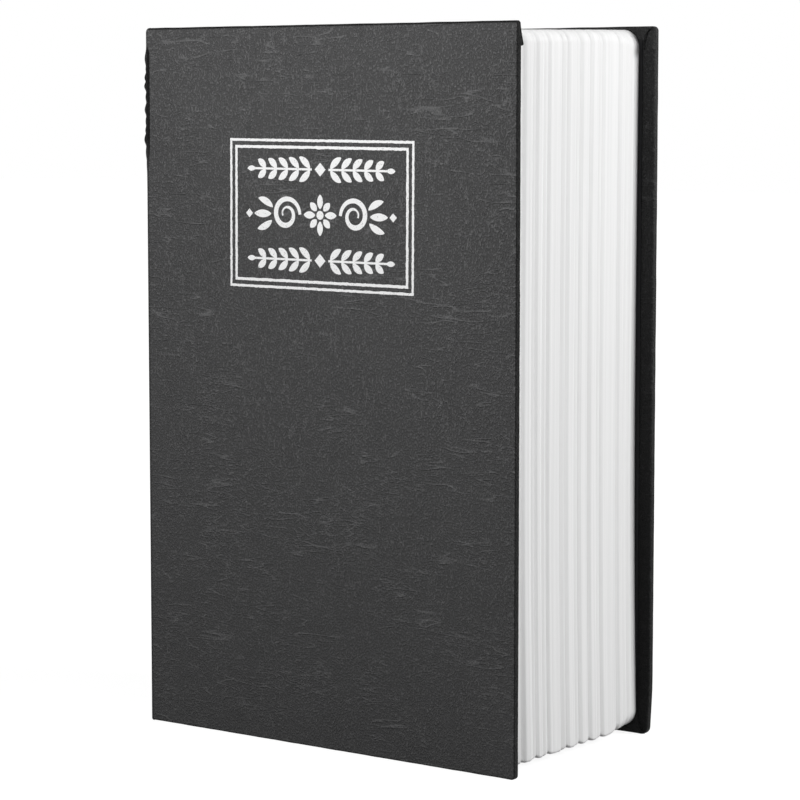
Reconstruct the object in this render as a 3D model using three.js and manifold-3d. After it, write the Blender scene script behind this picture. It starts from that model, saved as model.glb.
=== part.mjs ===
// A book safe: a hardback book whose page block is a plastic frame around a lockable steel box.
// Units are millimetres. The book stands on its tail edge: X runs from the spine to the fore-edge,
// Y from the front cover to the back cover, and Z up from the tail to the head.

import * as THREE from 'three';
import { mergeVertices } from 'three/addons/utils/BufferGeometryUtils.js';
import Module from 'manifold-3d';

const wasm = await Module();
wasm.setup();

// Whole book
const bookWidth = 115;
const bookThickness = 63.5;
const bookHeight = 180;
const coverOverhang = 4.65;
const headSquare = 0.9;
const tailSquare = 0.25;
const coverCornerRadius = 1.2;

// Case binding
const wrapThickness = 0.3;
const boardThickness = 1.4;
const turnInWidth = 15;
const pastedownThickness = 0.2;
const pastedownMargin = 3.5;
const glueLine = 0.05;
const jointGap = 0.3;
const coverClearance = 0.35;

// Page frame
const frameWall = 2;
const rimThickness = 2;
const rimWidth = 7;
const spineRimWidth = 4.95;
const rimCornerRadius = 2;
const lipThickness = 1.5;
const lipDepth = 8;
const pageCornerRadius = 6;
const ribDepth = 0.35;
const ribCrest = [0.3, 0.8];
const ribWidths = [6.2, 5.8, 5.6, 8.5, 6.2, 4.4, 5.3, 8.0, 5.1, 1.8, 1.5];
const webThickness = 2;
const foreEdgeWebs = 4;
const endWebs = 3;
const bossWall = 1.95;

// Steel tray
const sheetThickness = 0.8;
const trayGap = 0.3;
const lidRecess = 2.4;
const flangeWidth = 6;

// Steel lid and its hinge
const lidThickness = 1;
const lidGap = 0.5;
const lidSeat = 0.3;
const lidCornerRadius = 1.5;
const hingePinRadius = 1;
const pinClearance = 0.15;
const knuckleCount = 9;
const knuckleGap = 0.3;
const lidLeafReach = 11;
const trayLeafReach = 14;

// Key lock
const lockInset = 20;
const plugRadius = 5;
const plugHeadStep = 0.9;
const plugHeadThickness = 0.9;
const plugClearance = 0.3;
const housingWall = 1.7;
const housingFlatDepth = 0.9;
const housingLength = 11;
const bezelStep = 2;
const bezelThickness = 1.9;
const bezelChamfer = 0.5;
const keywayWidth = 2;
const keywayHeight = 7;
const threadClearance = 0.3;
const washerRim = 1.2;
const washerThickness = 0.8;
const washerSplit = 1.2;
const nutRim = 1.2;
const nutThickness = 3;

// Wafers in the plug
const waferCount = 4;
const waferPitch = 1.75;
const waferThickness = 0.7;
const waferWidth = 5;
const waferInset = 0.35;
const waferLugHeight = 1.2;
const waferSlack = 0.25;
const firstWaferDepth = 1.8;
const waferCuts = [-0.6, 0.2, -0.2, 0.6];
const waferWindowHeight = 4.7;
const springRadius = 0.38;
const springWireRadius = 0.11;
const springLength = 2;
const springTurns = 3;

// Cam
const camThickness = 1.6;
const camHalfWidth = 4.5;
const camHubRadius = 6.5;
const camBite = 4;
const camNutClearance = 0.8;
const camClearance = 0.5;
const tailHalfWidth = 3;
const camScrewRadius = 1.6;
const camScrewLength = 6.5;
const camScrewHeadRadius = 3.8;
const camScrewHeadHeight = 2;
const camWasherRadius = 4.6;

// Screws between tray and frame
const frameScrewRadius = 1.25;
const frameScrewLength = 5.2;
const frameScrewHeadRadius = 2.75;
const frameScrewHeadHeight = 1.6;
const frameScrewInset = 22;
const frameScrewDepth = 8;
const crossSlotWidth = 0.7;
const crossSlotLength = 3.3;
const crossSlotDepth = 0.9;

// Facets of the round pieces
const roundSides = 24;
const arcSteps = 6;
const springStepsPerTurn = 8;
const springSides = 5;

// How far a cut runs past the face that it opens, and a joined shape into its neighbour
const overlap = 1;

// Front cover, from the outer face inwards
const spineX = -bookWidth / 2;
const foreEdgeX = bookWidth / 2;
const frontY = -bookThickness / 2;
const backY = bookThickness / 2;
const coverThickness = 2 * wrapThickness + 2 * glueLine + boardThickness;
const coverX = [spineX + wrapThickness + glueLine, foreEdgeX];
const pastedownStep = glueLine + pastedownThickness;

// Page frame, outside
const frame = {
  x: [spineX + coverThickness + jointGap, foreEdgeX - coverOverhang],
  y: [
    frontY + coverThickness + pastedownStep + coverClearance,
    backY - coverThickness - pastedownStep - glueLine,
  ],
  z: [tailSquare, bookHeight - headSquare],
};
const rimOpening = {
  x: [frame.x[0] + spineRimWidth, frame.x[1] - rimWidth],
  z: [frame.z[0] + rimWidth, frame.z[1] - rimWidth],
};

// Lid, between the rim's sides
const lidFront = frame.y[0] + lidRecess;
const lidBack = lidFront + lidThickness;

// Tray, outside
const tray = {
  x: inset(rimOpening.x, trayGap),
  y: [lidBack + lidSeat, frame.y[1]],
  z: inset(rimOpening.z, trayGap),
};
const trayInside = {
  x: inset(tray.x, sheetThickness),
  z: inset(tray.z, sheetThickness),
};
const flangeBack = tray.y[0] + sheetThickness;
const wallFront = flangeBack + glueLine;
const mouth = {
  x: [trayInside.x[0], tray.x[1] - flangeWidth],
  z: inset(tray.z, flangeWidth),
};

// Hinge: the lid's leaf lies behind the lid, the tray's leaf inside the tray's spine wall
const knuckleBore = hingePinRadius + pinClearance;
const knuckleRadius = knuckleBore + sheetThickness;
const hingeX = trayInside.x[0] + glueLine + knuckleRadius;
const hingeY = lidBack + glueLine + sheetThickness - knuckleRadius;
const hinge = { z: inset(mouth.z, lidSeat) };
const knucklePitch = (hinge.z[1] - hinge.z[0]) / knuckleCount;

// Lid, outside
const lid = {
  x: [hingeX + knuckleRadius + lidGap, rimOpening.x[1] - lidGap],
  z: inset(rimOpening.z, lidGap),
};

// Lock, along Y through the lid
const plugHeadRadius = plugRadius + plugHeadStep;
const housingRadius = plugRadius + plugClearance + housingWall;
const housingFlat = housingRadius - housingFlatDepth;
const threadHole = housingRadius + threadClearance;
const bezelRadius = housingRadius + bezelStep;
const nutCorner = ((threadHole + nutRim) * 2) / Math.sqrt(3);
const lockX = lid.x[1] - lockInset;
const lockZ = bookHeight / 2;
const bezelBack = lidFront - glueLine;
const bezelFront = bezelBack - bezelThickness;
const housingBack = bezelBack + housingLength;
const plugHeadRecess = plugHeadThickness + 2 * plugClearance;
const plugFront = bezelFront + plugClearance / 2;
const camFront = housingBack + plugClearance;
const camBack = camFront + camThickness;
const camReach = mouth.x[1] - lockX + camBite;
const washerFront = lidBack + glueLine;
const nutFront = washerFront + washerThickness + glueLine;
const camWasherFront = camBack + glueLine;
const camScrewFront = camWasherFront + washerThickness + glueLine;

// Moves both ends of an interval inwards by the same distance.
function inset([low, high], distance) {
  return [low + distance, high - distance];
}

// A box between three intervals.
function block([x0, x1], [y0, y1], [z0, z1]) {
  const geometry = new THREE.BoxGeometry(x1 - x0, y1 - y0, z1 - z0);
  geometry.translate((x0 + x1) / 2, (y0 + y1) / 2, (z0 + z1) / 2);
  return geometry;
}

// A quarter of a circle as points, from a start angle; a radius of zero gives the corner itself.
function quarterArc(x, z, radius, start) {
  if (radius <= 0) {
    return [new THREE.Vector2(x, z)];
  }
  return Array.from({ length: arcSteps + 1 }, (_, step) => {
    const angle = start + (step / arcSteps) * (Math.PI / 2);
    return new THREE.Vector2(x + radius * Math.cos(angle), z + radius * Math.sin(angle));
  });
}

// A rectangle in X and Z whose corners are rounded at the spine side and at the fore-edge side.
function roundedRectangle([x0, x1], [z0, z1], spineRadius, foreRadius) {
  const quarter = Math.PI / 2;
  return [
    ...quarterArc(x0 + spineRadius, z0 + spineRadius, spineRadius, 2 * quarter),
    ...quarterArc(x1 - foreRadius, z0 + foreRadius, foreRadius, 3 * quarter),
    ...quarterArc(x1 - foreRadius, z1 - foreRadius, foreRadius, 0),
    ...quarterArc(x0 + spineRadius, z1 - spineRadius, spineRadius, quarter),
  ];
}

// An outline in X and Z, made into a plate between two Y values.
function plate(outline, [y0, y1]) {
  const shape = new THREE.Shape(outline);
  const geometry = new THREE.ExtrudeGeometry(shape, { depth: y1 - y0, bevelEnabled: false });
  geometry.rotateX(Math.PI / 2);
  geometry.translate(0, y1, 0);
  return geometry;
}

// A cylinder along Y through (x, z).
function rodAlongY(radius, [y0, y1], x, z, sides = roundSides) {
  const geometry = new THREE.CylinderGeometry(radius, radius, y1 - y0, sides);
  geometry.translate(x, (y0 + y1) / 2, z);
  return geometry;
}

// A cylinder along Z through (x, y).
function rodAlongZ(radius, [z0, z1], x, y, sides = roundSides) {
  const geometry = new THREE.CylinderGeometry(radius, radius, z1 - z0, sides);
  geometry.rotateX(Math.PI / 2);
  geometry.translate(x, y, (z0 + z1) / 2);
  return geometry;
}

// Turns a closed geometry into a solid for cutting and joining.
function solid(geometry) {
  geometry.deleteAttribute('normal');
  geometry.deleteAttribute('uv');
  const merged = mergeVertices(geometry, 1e-4);
  const mesh = new wasm.Mesh({
    numProp: 3,
    vertProperties: new Float32Array(merged.attributes.position.array),
    triVerts: new Uint32Array(merged.index.array),
  });
  return new wasm.Manifold(mesh);
}

// Joins the first list of geometries, then cuts the second list away.
function shaped(parts, cuts = []) {
  let body = solid(parts[0]);
  for (const part of parts.slice(1)) {
    body = body.add(solid(part));
  }
  for (const cut of cuts) {
    body = body.subtract(solid(cut));
  }
  return toGeometry(body);
}

// Turns a solid back into a geometry.
function toGeometry(body) {
  const mesh = body.getMesh();
  const geometry = new THREE.BufferGeometry();
  geometry.setAttribute('position', new THREE.BufferAttribute(new Float32Array(mesh.vertProperties), 3));
  geometry.setIndex(new THREE.BufferAttribute(new Uint32Array(mesh.triVerts), 1));
  geometry.computeVertexNormals();
  return geometry;
}

// Case binding

// Two Y values at distances inwards from a cover's outer face, the lower one first.
function inwardsFrom(outerY, inwards, near, far) {
  return [outerY + inwards * near, outerY + inwards * far].sort((a, b) => a - b);
}

// The wrap of a cover board: one sheet over the outer face and the edges, turned in on the inner
// face at the head, the tail and the fore-edge.
function coverWrap(outerY, inwards) {
  const sheet = wrapThickness;
  const outside = roundedRectangle(coverX, [0, bookHeight], 0, coverCornerRadius);
  const inside = roundedRectangle(
    inset(coverX, sheet), inset([0, bookHeight], sheet), 0, coverCornerRadius - sheet);
  const boardRoom = plate(inside, inwardsFrom(outerY, inwards, sheet, coverThickness - sheet));
  const window = block(
    [coverX[0] + sheet, coverX[1] - turnInWidth],
    inwardsFrom(outerY, inwards, coverThickness / 2, coverThickness + overlap),
    inset([0, bookHeight], turnInWidth));
  return shaped([plate(outside, inwardsFrom(outerY, inwards, 0, coverThickness))], [boardRoom, window]);
}

// The board inside a cover wrap.
function coverBoard(outerY, inwards) {
  const margin = wrapThickness + glueLine;
  const outline = roundedRectangle(
    inset(coverX, margin), inset([0, bookHeight], margin), 0, coverCornerRadius - margin);
  return plate(outline, inwardsFrom(outerY, inwards, margin, margin + boardThickness));
}

// The end paper pasted over the turned-in edges of a cover.
function pastedown(outerY, inwards) {
  const near = coverThickness + glueLine;
  return block(
    inset(coverX, pastedownMargin),
    inwardsFrom(outerY, inwards, near, near + pastedownThickness),
    inset([0, bookHeight], pastedownMargin));
}

const spineSpanY = inset([frontY, backY], coverThickness + jointGap);

// The wrap round the spine board. Its outer sheet reaches over both joints to the hinge line of the
// front cover and to the back cover.
function spineWrap() {
  const sheet = wrapThickness;
  const across = [spineX, spineX + coverThickness];
  const past = inset(spineSpanY, -overlap);
  const boardRoom = block(inset(across, sheet), past, inset([0, bookHeight], sheet));
  const window = block(
    [spineX + coverThickness / 2, across[1] + overlap], past, inset([0, bookHeight], turnInWidth));
  const tube = solid(block(across, spineSpanY, [0, bookHeight]))
    .subtract(solid(boardRoom))
    .subtract(solid(window));
  const joints = block([spineX, spineX + sheet], [frontY, backY], [0, bookHeight]);
  return toGeometry(tube.add(solid(joints)));
}

function spineBoard() {
  const margin = wrapThickness + glueLine;
  return block(
    inset([spineX, spineX + coverThickness], margin), spineSpanY, inset([0, bookHeight], margin));
}

// Page frame

// The outline of the page block at a given depth below the crests of its ribs.
function pageOutline(depth) {
  return roundedRectangle([frame.x[0], frame.x[1] - depth], inset(frame.z, depth), 0, pageCornerRadius);
}

// Where the page block's surface lies, from front to back: pairs of Y and depth below the crests.
// A rib rises to its crest, which lies between two shares of its width, and falls again.
function ribProfile() {
  const total = ribWidths.reduce((sum, width) => sum + width, 0);
  const scale = (frame.y[1] - frame.y[0]) / total;
  const profile = [];
  let start = frame.y[0];
  for (const width of ribWidths) {
    const span = width * scale;
    profile.push([start, ribDepth], [start + ribCrest[0] * span, 0], [start + ribCrest[1] * span, 0]);
    start += span;
  }
  profile.push([frame.y[1], ribDepth]);
  return profile;
}

// The solid page block with ribs that run from the tail round the fore-edge to the head.
function ribbedBlock() {
  const rings = ribProfile().map(
    ([y, depth]) => pageOutline(depth).map((point) => new THREE.Vector3(point.x, y, point.y)));
  const count = rings[0].length;
  const vertices = rings.flat();
  const faces = [];
  for (let ring = 0; ring < rings.length - 1; ring += 1) {
    for (let index = 0; index < count; index += 1) {
      const next = (index + 1) % count;
      const [a, b] = [ring * count + index, ring * count + next];
      faces.push(a, b, b + count, a, b + count, a + count);
    }
  }
  const last = (rings.length - 1) * count;
  for (let index = 1; index < count - 1; index += 1) {
    faces.push(0, index + 1, index);
    faces.push(last, last + index, last + index + 1);
  }
  const geometry = new THREE.BufferGeometry().setFromPoints(vertices);
  geometry.setIndex(faces);
  return windOutwards(geometry);
}

// Turns every face over if the body was wound inside out.
function windOutwards(geometry) {
  const { array } = geometry.attributes.position;
  const index = [...geometry.index.array];
  const corner = (vertex) => new THREE.Vector3().fromArray(array, 3 * vertex);
  let volume = 0;
  for (let face = 0; face < index.length; face += 3) {
    const [a, b, c] = index.slice(face, face + 3).map(corner);
    volume += a.dot(b.cross(c));
  }
  if (volume < 0) {
    geometry.setIndex(index.reverse());
  }
  return geometry;
}

// Even places along an interval, clear of its ends.
function spread([low, high], count) {
  return Array.from({ length: count }, (_, index) => low + ((index + 0.5) * (high - low)) / count);
}

// The webs that hold the tray in the middle of the frame.
function frameWebs() {
  const depth = [frame.y[0] + lipDepth - rimThickness, frame.y[1]];
  const around = (middle) => [middle - webThickness / 2, middle + webThickness / 2];
  const inWall = frameWall / 2;
  const webs = [];
  for (const z of spread(frame.z, foreEdgeWebs)) {
    webs.push(block([tray.x[1] + trayGap, frame.x[1] - inWall], depth, around(z)));
    webs.push(block([frame.x[0] + inWall, tray.x[0] - trayGap], depth, around(z)));
  }
  for (const x of spread(tray.x, endWebs)) {
    webs.push(block(around(x), depth, [frame.z[0] + inWall, tray.z[0] - trayGap]));
    webs.push(block(around(x), depth, [tray.z[1] + trayGap, frame.z[1] - inWall]));
  }
  return webs;
}

const frameScrewX = [tray.x[0] + frameScrewInset, tray.x[1] - frameScrewInset];
const frameScrewY = flangeBack + frameScrewDepth;
const frameScrewHole = frameScrewRadius + threadClearance;

// The four places of the screws: X, and which end of the book (-1 tail, 1 head).
const frameScrewPlaces = frameScrewX.flatMap((x) => [[x, -1], [x, 1]]);

// An interval in Z that runs outwards from the tray's wall at one end of the book.
function outwardsFromTray(end, near, far) {
  const wall = end < 0 ? tray.z[0] : tray.z[1];
  return [wall + end * near, wall + end * far].sort((a, b) => a - b);
}

function pageFrame() {
  const room = block(
    [frame.x[0] + frameWall, frame.x[1] - frameWall - ribDepth],
    [frame.y[0] + rimThickness, frame.y[1] + overlap],
    inset(frame.z, frameWall + ribDepth));
  const shell = solid(ribbedBlock()).subtract(solid(room));
  const bossSpan = [trayGap, tray.z[0] - frame.z[0] - frameWall / 2];
  const holeSpan = [0, frameScrewLength - sheetThickness];
  const bosses = frameScrewPlaces.map(
    ([x, end]) => rodAlongZ(frameScrewHole + bossWall, outwardsFromTray(end, ...bossSpan), x, frameScrewY));
  const holes = frameScrewPlaces.map(
    ([x, end]) => rodAlongZ(frameScrewHole, outwardsFromTray(end, ...holeSpan), x, frameScrewY));
  const lip = block(
    inset(rimOpening.x, -lipThickness),
    [frame.y[0] + rimThickness / 2, frame.y[0] + lipDepth],
    inset(rimOpening.z, -lipThickness));
  const opening = plate(
    roundedRectangle(rimOpening.x, rimOpening.z, rimCornerRadius, rimCornerRadius),
    [frame.y[0] - overlap, lidBack]);
  const trayRoom = block(
    rimOpening.x, [lidBack - glueLine, frame.y[0] + lipDepth + overlap], rimOpening.z);
  let body = shell;
  for (const part of [lip, ...frameWebs(), ...bosses]) {
    body = body.add(solid(part));
  }
  for (const cut of [opening, trayRoom, ...holes]) {
    body = body.subtract(solid(cut));
  }
  return toGeometry(body);
}

// A screw along Z with a cross slot: its head lies inside the tray, its shank points outwards.
function frameScrew(x, end) {
  const seat = -sheetThickness - glueLine;
  const headTop = seat - frameScrewHeadHeight;
  const head = outwardsFromTray(end, seat, headTop);
  const shank = outwardsFromTray(end, seat - frameScrewHeadHeight / 2, seat + frameScrewLength);
  const slotDepth = outwardsFromTray(end, headTop - overlap, headTop + crossSlotDepth);
  const across = (middle, half) => [middle - half, middle + half];
  const long = crossSlotLength / 2;
  const short = crossSlotWidth / 2;
  return shaped(
    [
      rodAlongZ(frameScrewHeadRadius, head, x, frameScrewY),
      rodAlongZ(frameScrewRadius, shank, x, frameScrewY, roundSides / 2),
    ],
    [
      block(across(x, long), across(frameScrewY, short), slotDepth),
      block(across(x, short), across(frameScrewY, long), slotDepth),
    ]);
}

// Steel tray

// The room that the hinge's knuckles need at the spine side of the tray.
function knuckleRoom() {
  return block(
    [tray.x[0] - overlap, trayInside.x[0] + glueLine],
    [tray.y[0] - overlap, hingeY + knuckleRadius + knuckleGap],
    mouth.z);
}

// A folded box, open to the front.
function steelTray() {
  const outside = block(tray.x, [wallFront, tray.y[1]], tray.z);
  const room = block(trayInside.x, [wallFront - overlap, tray.y[1] - sheetThickness], trayInside.z);
  const holes = frameScrewPlaces.map(([x, end]) => rodAlongZ(
    frameScrewHole, outwardsFromTray(end, -sheetThickness - overlap, overlap), x, frameScrewY));
  return shaped([outside], [room, knuckleRoom(), ...holes]);
}

// The steel rim that is welded on the tray's front edges: a flange on three sides for the lid.
function trayRim() {
  const outside = block(tray.x, [tray.y[0], flangeBack], tray.z);
  const opening = block(mouth.x, [tray.y[0] - overlap, flangeBack + overlap], mouth.z);
  return shaped([outside], [opening, knuckleRoom()]);
}

// Hinge

// The Z interval of one knuckle; even ones belong to the tray, odd ones to the lid.
function knuckleSpan(index) {
  const start = hinge.z[0] + index * knucklePitch;
  return inset([start, start + knucklePitch], knuckleGap / 2);
}

function knuckleIndices(remainder) {
  return Array.from({ length: knuckleCount }, (_, index) => index).filter((index) => index % 2 === remainder);
}

// One leaf with its knuckles: the leaf's plate stops short of the other leaf's knuckles.
function hingeLeaf(remainder, leafPlate, tongue) {
  const own = knuckleIndices(remainder);
  const tongues = own.map((index) => tongue(knuckleSpan(index)));
  const knuckles = own.map((index) => rodAlongZ(knuckleRadius, knuckleSpan(index), hingeX, hingeY));
  const bores = own.map(
    (index) => rodAlongZ(knuckleBore, inset(knuckleSpan(index), -knuckleGap / 2), hingeX, hingeY));
  return shaped([leafPlate, ...tongues, ...knuckles], bores);
}

function trayHingeLeaf() {
  const across = [hingeX - knuckleRadius, hingeX - knuckleRadius + sheetThickness];
  const clear = hingeY + knuckleRadius + knuckleGap;
  const leafPlate = block(across, [clear, hingeY + trayLeafReach], hinge.z);
  return hingeLeaf(0, leafPlate, (span) => block(across, [hingeY, clear + sheetThickness], span));
}

function lidHingeLeaf() {
  const across = [hingeY + knuckleRadius - sheetThickness, hingeY + knuckleRadius];
  const clear = hingeX + knuckleRadius + knuckleGap;
  const leafPlate = block([clear, hingeX + lidLeafReach], across, hinge.z);
  return hingeLeaf(1, leafPlate, (span) => block([hingeX, clear + sheetThickness], across, span));
}

function hingePin() {
  return rodAlongZ(hingePinRadius, hinge.z, hingeX, hingeY);
}

// Lid with the lock's hole, flat on two sides so that the lock can't turn

function housingOutline(clearance, span) {
  const rod = solid(rodAlongY(housingRadius + clearance, span, lockX, lockZ));
  const flats = block(
    [lockX - housingFlat - clearance, lockX + housingFlat + clearance],
    inset(span, -overlap),
    [lockZ - bezelRadius, lockZ + bezelRadius]);
  return rod.intersect(solid(flats));
}

function steelLid() {
  const outline = roundedRectangle(lid.x, lid.z, lidCornerRadius, lidCornerRadius);
  const sheet = solid(plate(outline, [lidFront, lidBack]));
  return toGeometry(sheet.subtract(housingOutline(threadClearance, [lidFront - overlap, lidBack + overlap])));
}

// Lock

function lockHousing() {
  const rim = new THREE.CylinderGeometry(bezelRadius, bezelRadius - bezelChamfer, bezelChamfer, roundSides);
  rim.translate(lockX, bezelFront + bezelChamfer / 2, lockZ);
  const bezel = rodAlongY(bezelRadius, [bezelFront + bezelChamfer, bezelBack], lockX, lockZ);
  const bore = rodAlongY(
    plugRadius + plugClearance, [bezelFront - overlap, housingBack + overlap], lockX, lockZ);
  const recess = rodAlongY(
    plugHeadRadius + plugClearance, [bezelFront - overlap, bezelFront + plugHeadRecess], lockX, lockZ);
  const body = housingOutline(0, [bezelBack - bezelThickness / 2, housingBack])
    .add(solid(bezel))
    .add(solid(rim))
    .subtract(solid(bore))
    .subtract(solid(recess));
  return toGeometry(body);
}

function lockWasher() {
  const span = [washerFront, washerFront + washerThickness];
  const slit = block(
    [lockX - washerSplit / 2, lockX + washerSplit / 2], inset(span, -overlap), [lockZ, lockZ + 2 * bezelRadius]);
  return shaped(
    [rodAlongY(threadHole + washerRim, span, lockX, lockZ)],
    [rodAlongY(threadHole, inset(span, -overlap), lockX, lockZ), slit]);
}

function lockNut() {
  const span = [nutFront, nutFront + nutThickness];
  return shaped(
    [rodAlongY(nutCorner, span, lockX, lockZ, 6)],
    [rodAlongY(threadHole, inset(span, -overlap), lockX, lockZ)]);
}

// The Y interval of one wafer's slot in the plug.
function waferSlotSpan(index) {
  const middle = plugFront + firstWaferDepth + index * waferPitch;
  return [middle - waferThickness / 2 - waferSlack, middle + waferThickness / 2 + waferSlack];
}

const waferHeight = 2 * Math.sqrt((plugRadius - waferInset) ** 2 - (waferWidth / 2) ** 2);
const waferLug = 2 * (springRadius + springWireRadius) + waferSlack / 2;
const waferSide = lockX - waferWidth / 2;
const pocketSide = waferSide - waferLug - waferSlack;
const springBottom = lockZ - springLength;

// The slot for a wafer, with a pocket beside it for the wafer's lug and spring.
function waferSlots() {
  const slotHalf = waferWidth / 2 + waferSlack;
  return Array.from({ length: waferCount }, (_, index) => {
    const span = waferSlotSpan(index);
    const slot = block([lockX - slotHalf, lockX + slotHalf], span, [lockZ - plugRadius, lockZ + plugRadius]);
    const pocket = block(
      [pocketSide, lockX],
      span,
      [springBottom - waferSlack, lockZ + waferLugHeight + 2 * waferSlack]);
    return [slot, pocket];
  }).flat();
}

function lockPlug() {
  const keyway = block(
    [lockX - keywayWidth / 2, lockX + keywayWidth / 2],
    [plugFront - overlap, waferSlotSpan(waferCount - 1)[1]],
    [lockZ - keywayHeight / 2, lockZ + keywayHeight / 2]);
  const tail = block(
    [lockX - tailHalfWidth, lockX + tailHalfWidth],
    [housingBack - overlap, camBack - glueLine],
    [lockZ - tailHalfWidth, lockZ + tailHalfWidth]);
  const screwHole = rodAlongY(
    camScrewRadius + threadClearance,
    [camScrewFront - camScrewLength - threadClearance, camBack + overlap],
    lockX, lockZ, roundSides / 2);
  return shaped(
    [
      rodAlongY(plugHeadRadius, [plugFront, plugFront + plugHeadThickness], lockX, lockZ),
      rodAlongY(plugRadius, [plugFront + plugHeadThickness / 2, housingBack], lockX, lockZ),
      tail,
    ],
    [keyway, ...waferSlots(), screwHole]);
}

// A wafer: a brass plate with a window for the key and a lug that its spring pushes up.
function wafer(index) {
  const span = inset(waferSlotSpan(index), waferSlack);
  const half = waferWidth / 2;
  const windowMiddle = lockZ + waferCuts[index % waferCuts.length];
  return shaped(
    [
      block([lockX - half, lockX + half], span, [lockZ - waferHeight / 2, lockZ + waferHeight / 2]),
      block([waferSide - waferLug, lockX], span, [lockZ + waferSlack, lockZ + waferSlack + waferLugHeight]),
    ],
    [
      block(
        [lockX - keywayWidth / 2 - waferSlack, lockX + keywayWidth / 2 + waferSlack],
        inset(span, -overlap),
        [windowMiddle - waferWindowHeight / 2, windowMiddle + waferWindowHeight / 2]),
    ]);
}

// The helix that a wafer's spring follows, from the floor of its pocket up to the lug.
class SpringCurve extends THREE.Curve {
  constructor(centre) {
    super();
    this.centre = centre;
  }

  getPoint(share, target = new THREE.Vector3()) {
    const angle = share * springTurns * 2 * Math.PI;
    const rise = springLength - 2 * springWireRadius;
    return target.set(
      this.centre.x + springRadius * Math.cos(angle),
      this.centre.y + springRadius * Math.sin(angle),
      this.centre.z + springWireRadius + share * rise);
  }
}

function waferSpring(index) {
  const [slotStart, slotEnd] = waferSlotSpan(index);
  const centre = new THREE.Vector3(
    (pocketSide + waferSide) / 2, (slotStart + slotEnd) / 2, springBottom + waferSlack / 2);
  const section = new THREE.Shape();
  section.absarc(0, 0, springWireRadius, 0, 2 * Math.PI, false);
  return new THREE.ExtrudeGeometry(section, {
    steps: springTurns * springStepsPerTurn,
    curveSegments: springSides,
    bevelEnabled: false,
    extrudePath: new SpringCurve(centre),
  });
}

// The cam: a hub on the plug's square tail, cranked forward so that its tip turns in behind the
// tray's flange. It is drawn unlocked, with its tip towards the head.
function lockCam() {
  const across = [lockX - camHalfWidth, lockX + camHalfWidth];
  const tipFront = flangeBack + camClearance;
  const riserStart = lockZ + nutCorner + camNutClearance;
  const riser = [riserStart, riserStart + camThickness];
  const squareHole = tailHalfWidth + threadClearance;
  return shaped(
    [
      rodAlongY(camHubRadius, [camFront, camBack], lockX, lockZ),
      block(across, [camFront, camBack], [lockZ, riser[1]]),
      block(across, [tipFront, camBack], riser),
      block(across, [tipFront, tipFront + camThickness], [riser[0], lockZ + camReach]),
    ],
    [
      block(
        [lockX - squareHole, lockX + squareHole],
        [camFront - overlap, camBack + overlap],
        [lockZ - squareHole, lockZ + squareHole]),
    ]);
}

function camWasher() {
  const span = [camWasherFront, camWasherFront + washerThickness];
  return shaped(
    [rodAlongY(camWasherRadius, span, lockX, lockZ)],
    [rodAlongY(camScrewRadius + threadClearance, inset(span, -overlap), lockX, lockZ)]);
}

function camScrew() {
  const headBack = camScrewFront + camScrewHeadHeight;
  const slot = block(
    [lockX - camScrewHeadRadius - overlap, lockX + camScrewHeadRadius + overlap],
    [headBack - crossSlotDepth, headBack + overlap],
    [lockZ - crossSlotWidth / 2, lockZ + crossSlotWidth / 2]);
  return shaped(
    [
      rodAlongY(camScrewHeadRadius, [camScrewFront, headBack], lockX, lockZ),
      rodAlongY(
        camScrewRadius, [camScrewFront - camScrewLength, headBack - camScrewHeadHeight / 2],
        lockX, lockZ, roundSides / 2),
    ],
    [slot]);
}

// Materials

function finish(color, roughness, metalness) {
  return new THREE.MeshStandardMaterial({ color, roughness, metalness });
}

const leatherette = finish(0x3d3d3f, 0.7, 0);
const greyboard = finish(0x8c857a, 0.95, 0);
const endPaper = finish(0x1c1c1e, 0.8, 0);
const whitePlastic = finish(0xf2f2f2, 0.45, 0);
const blackSteel = finish(0x242528, 0.5, 0.3);
const zincSteel = finish(0xb9bcc0, 0.35, 1);
const chrome = finish(0xd8dadd, 0.15, 1);
const brass = finish(0xc8a24a, 0.35, 1);

// Assembly

const book = new THREE.Group();

function place(name, geometry, material) {
  const mesh = new THREE.Mesh(geometry, material);
  mesh.name = name;
  book.add(mesh);
}

place('front_cover_wrap', coverWrap(frontY, 1), leatherette);
place('front_cover_board', coverBoard(frontY, 1), greyboard);
place('front_pastedown', pastedown(frontY, 1), endPaper);
place('spine_wrap', spineWrap(), leatherette);
place('spine_board', spineBoard(), greyboard);
place('back_cover_wrap', coverWrap(backY, -1), leatherette);
place('back_cover_board', coverBoard(backY, -1), greyboard);
place('back_pastedown', pastedown(backY, -1), endPaper);

place('page_frame', pageFrame(), whitePlastic);
place('steel_tray', steelTray(), blackSteel);
place('tray_rim', trayRim(), blackSteel);
frameScrewPlaces.forEach(([x, end], index) => {
  place(`frame_screw_${index + 1}`, frameScrew(x, end), zincSteel);
});

place('tray_hinge_leaf', trayHingeLeaf(), blackSteel);
place('lid_hinge_leaf', lidHingeLeaf(), blackSteel);
place('hinge_pin', hingePin(), zincSteel);
place('steel_lid', steelLid(), blackSteel);

place('lock_housing', lockHousing(), chrome);
place('lock_washer', lockWasher(), zincSteel);
place('lock_nut', lockNut(), zincSteel);
place('lock_plug', lockPlug(), chrome);
for (let index = 0; index < waferCount; index += 1) {
  place(`wafer_${index + 1}`, wafer(index), brass);
  place(`wafer_spring_${index + 1}`, waferSpring(index), zincSteel);
}
place('lock_cam', lockCam(), zincSteel);
place('cam_washer', camWasher(), zincSteel);
place('cam_screw', camScrew(), zincSteel);

export default book;
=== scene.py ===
# How the book safe looks: the fine shape of every piece, its materials, and the light and camera.
# Lengths are metres, and MM turns millimetres into metres. X runs from the spine to the fore-edge,
# Y from the front cover to the back cover, and Z from the tail to the head.

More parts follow.
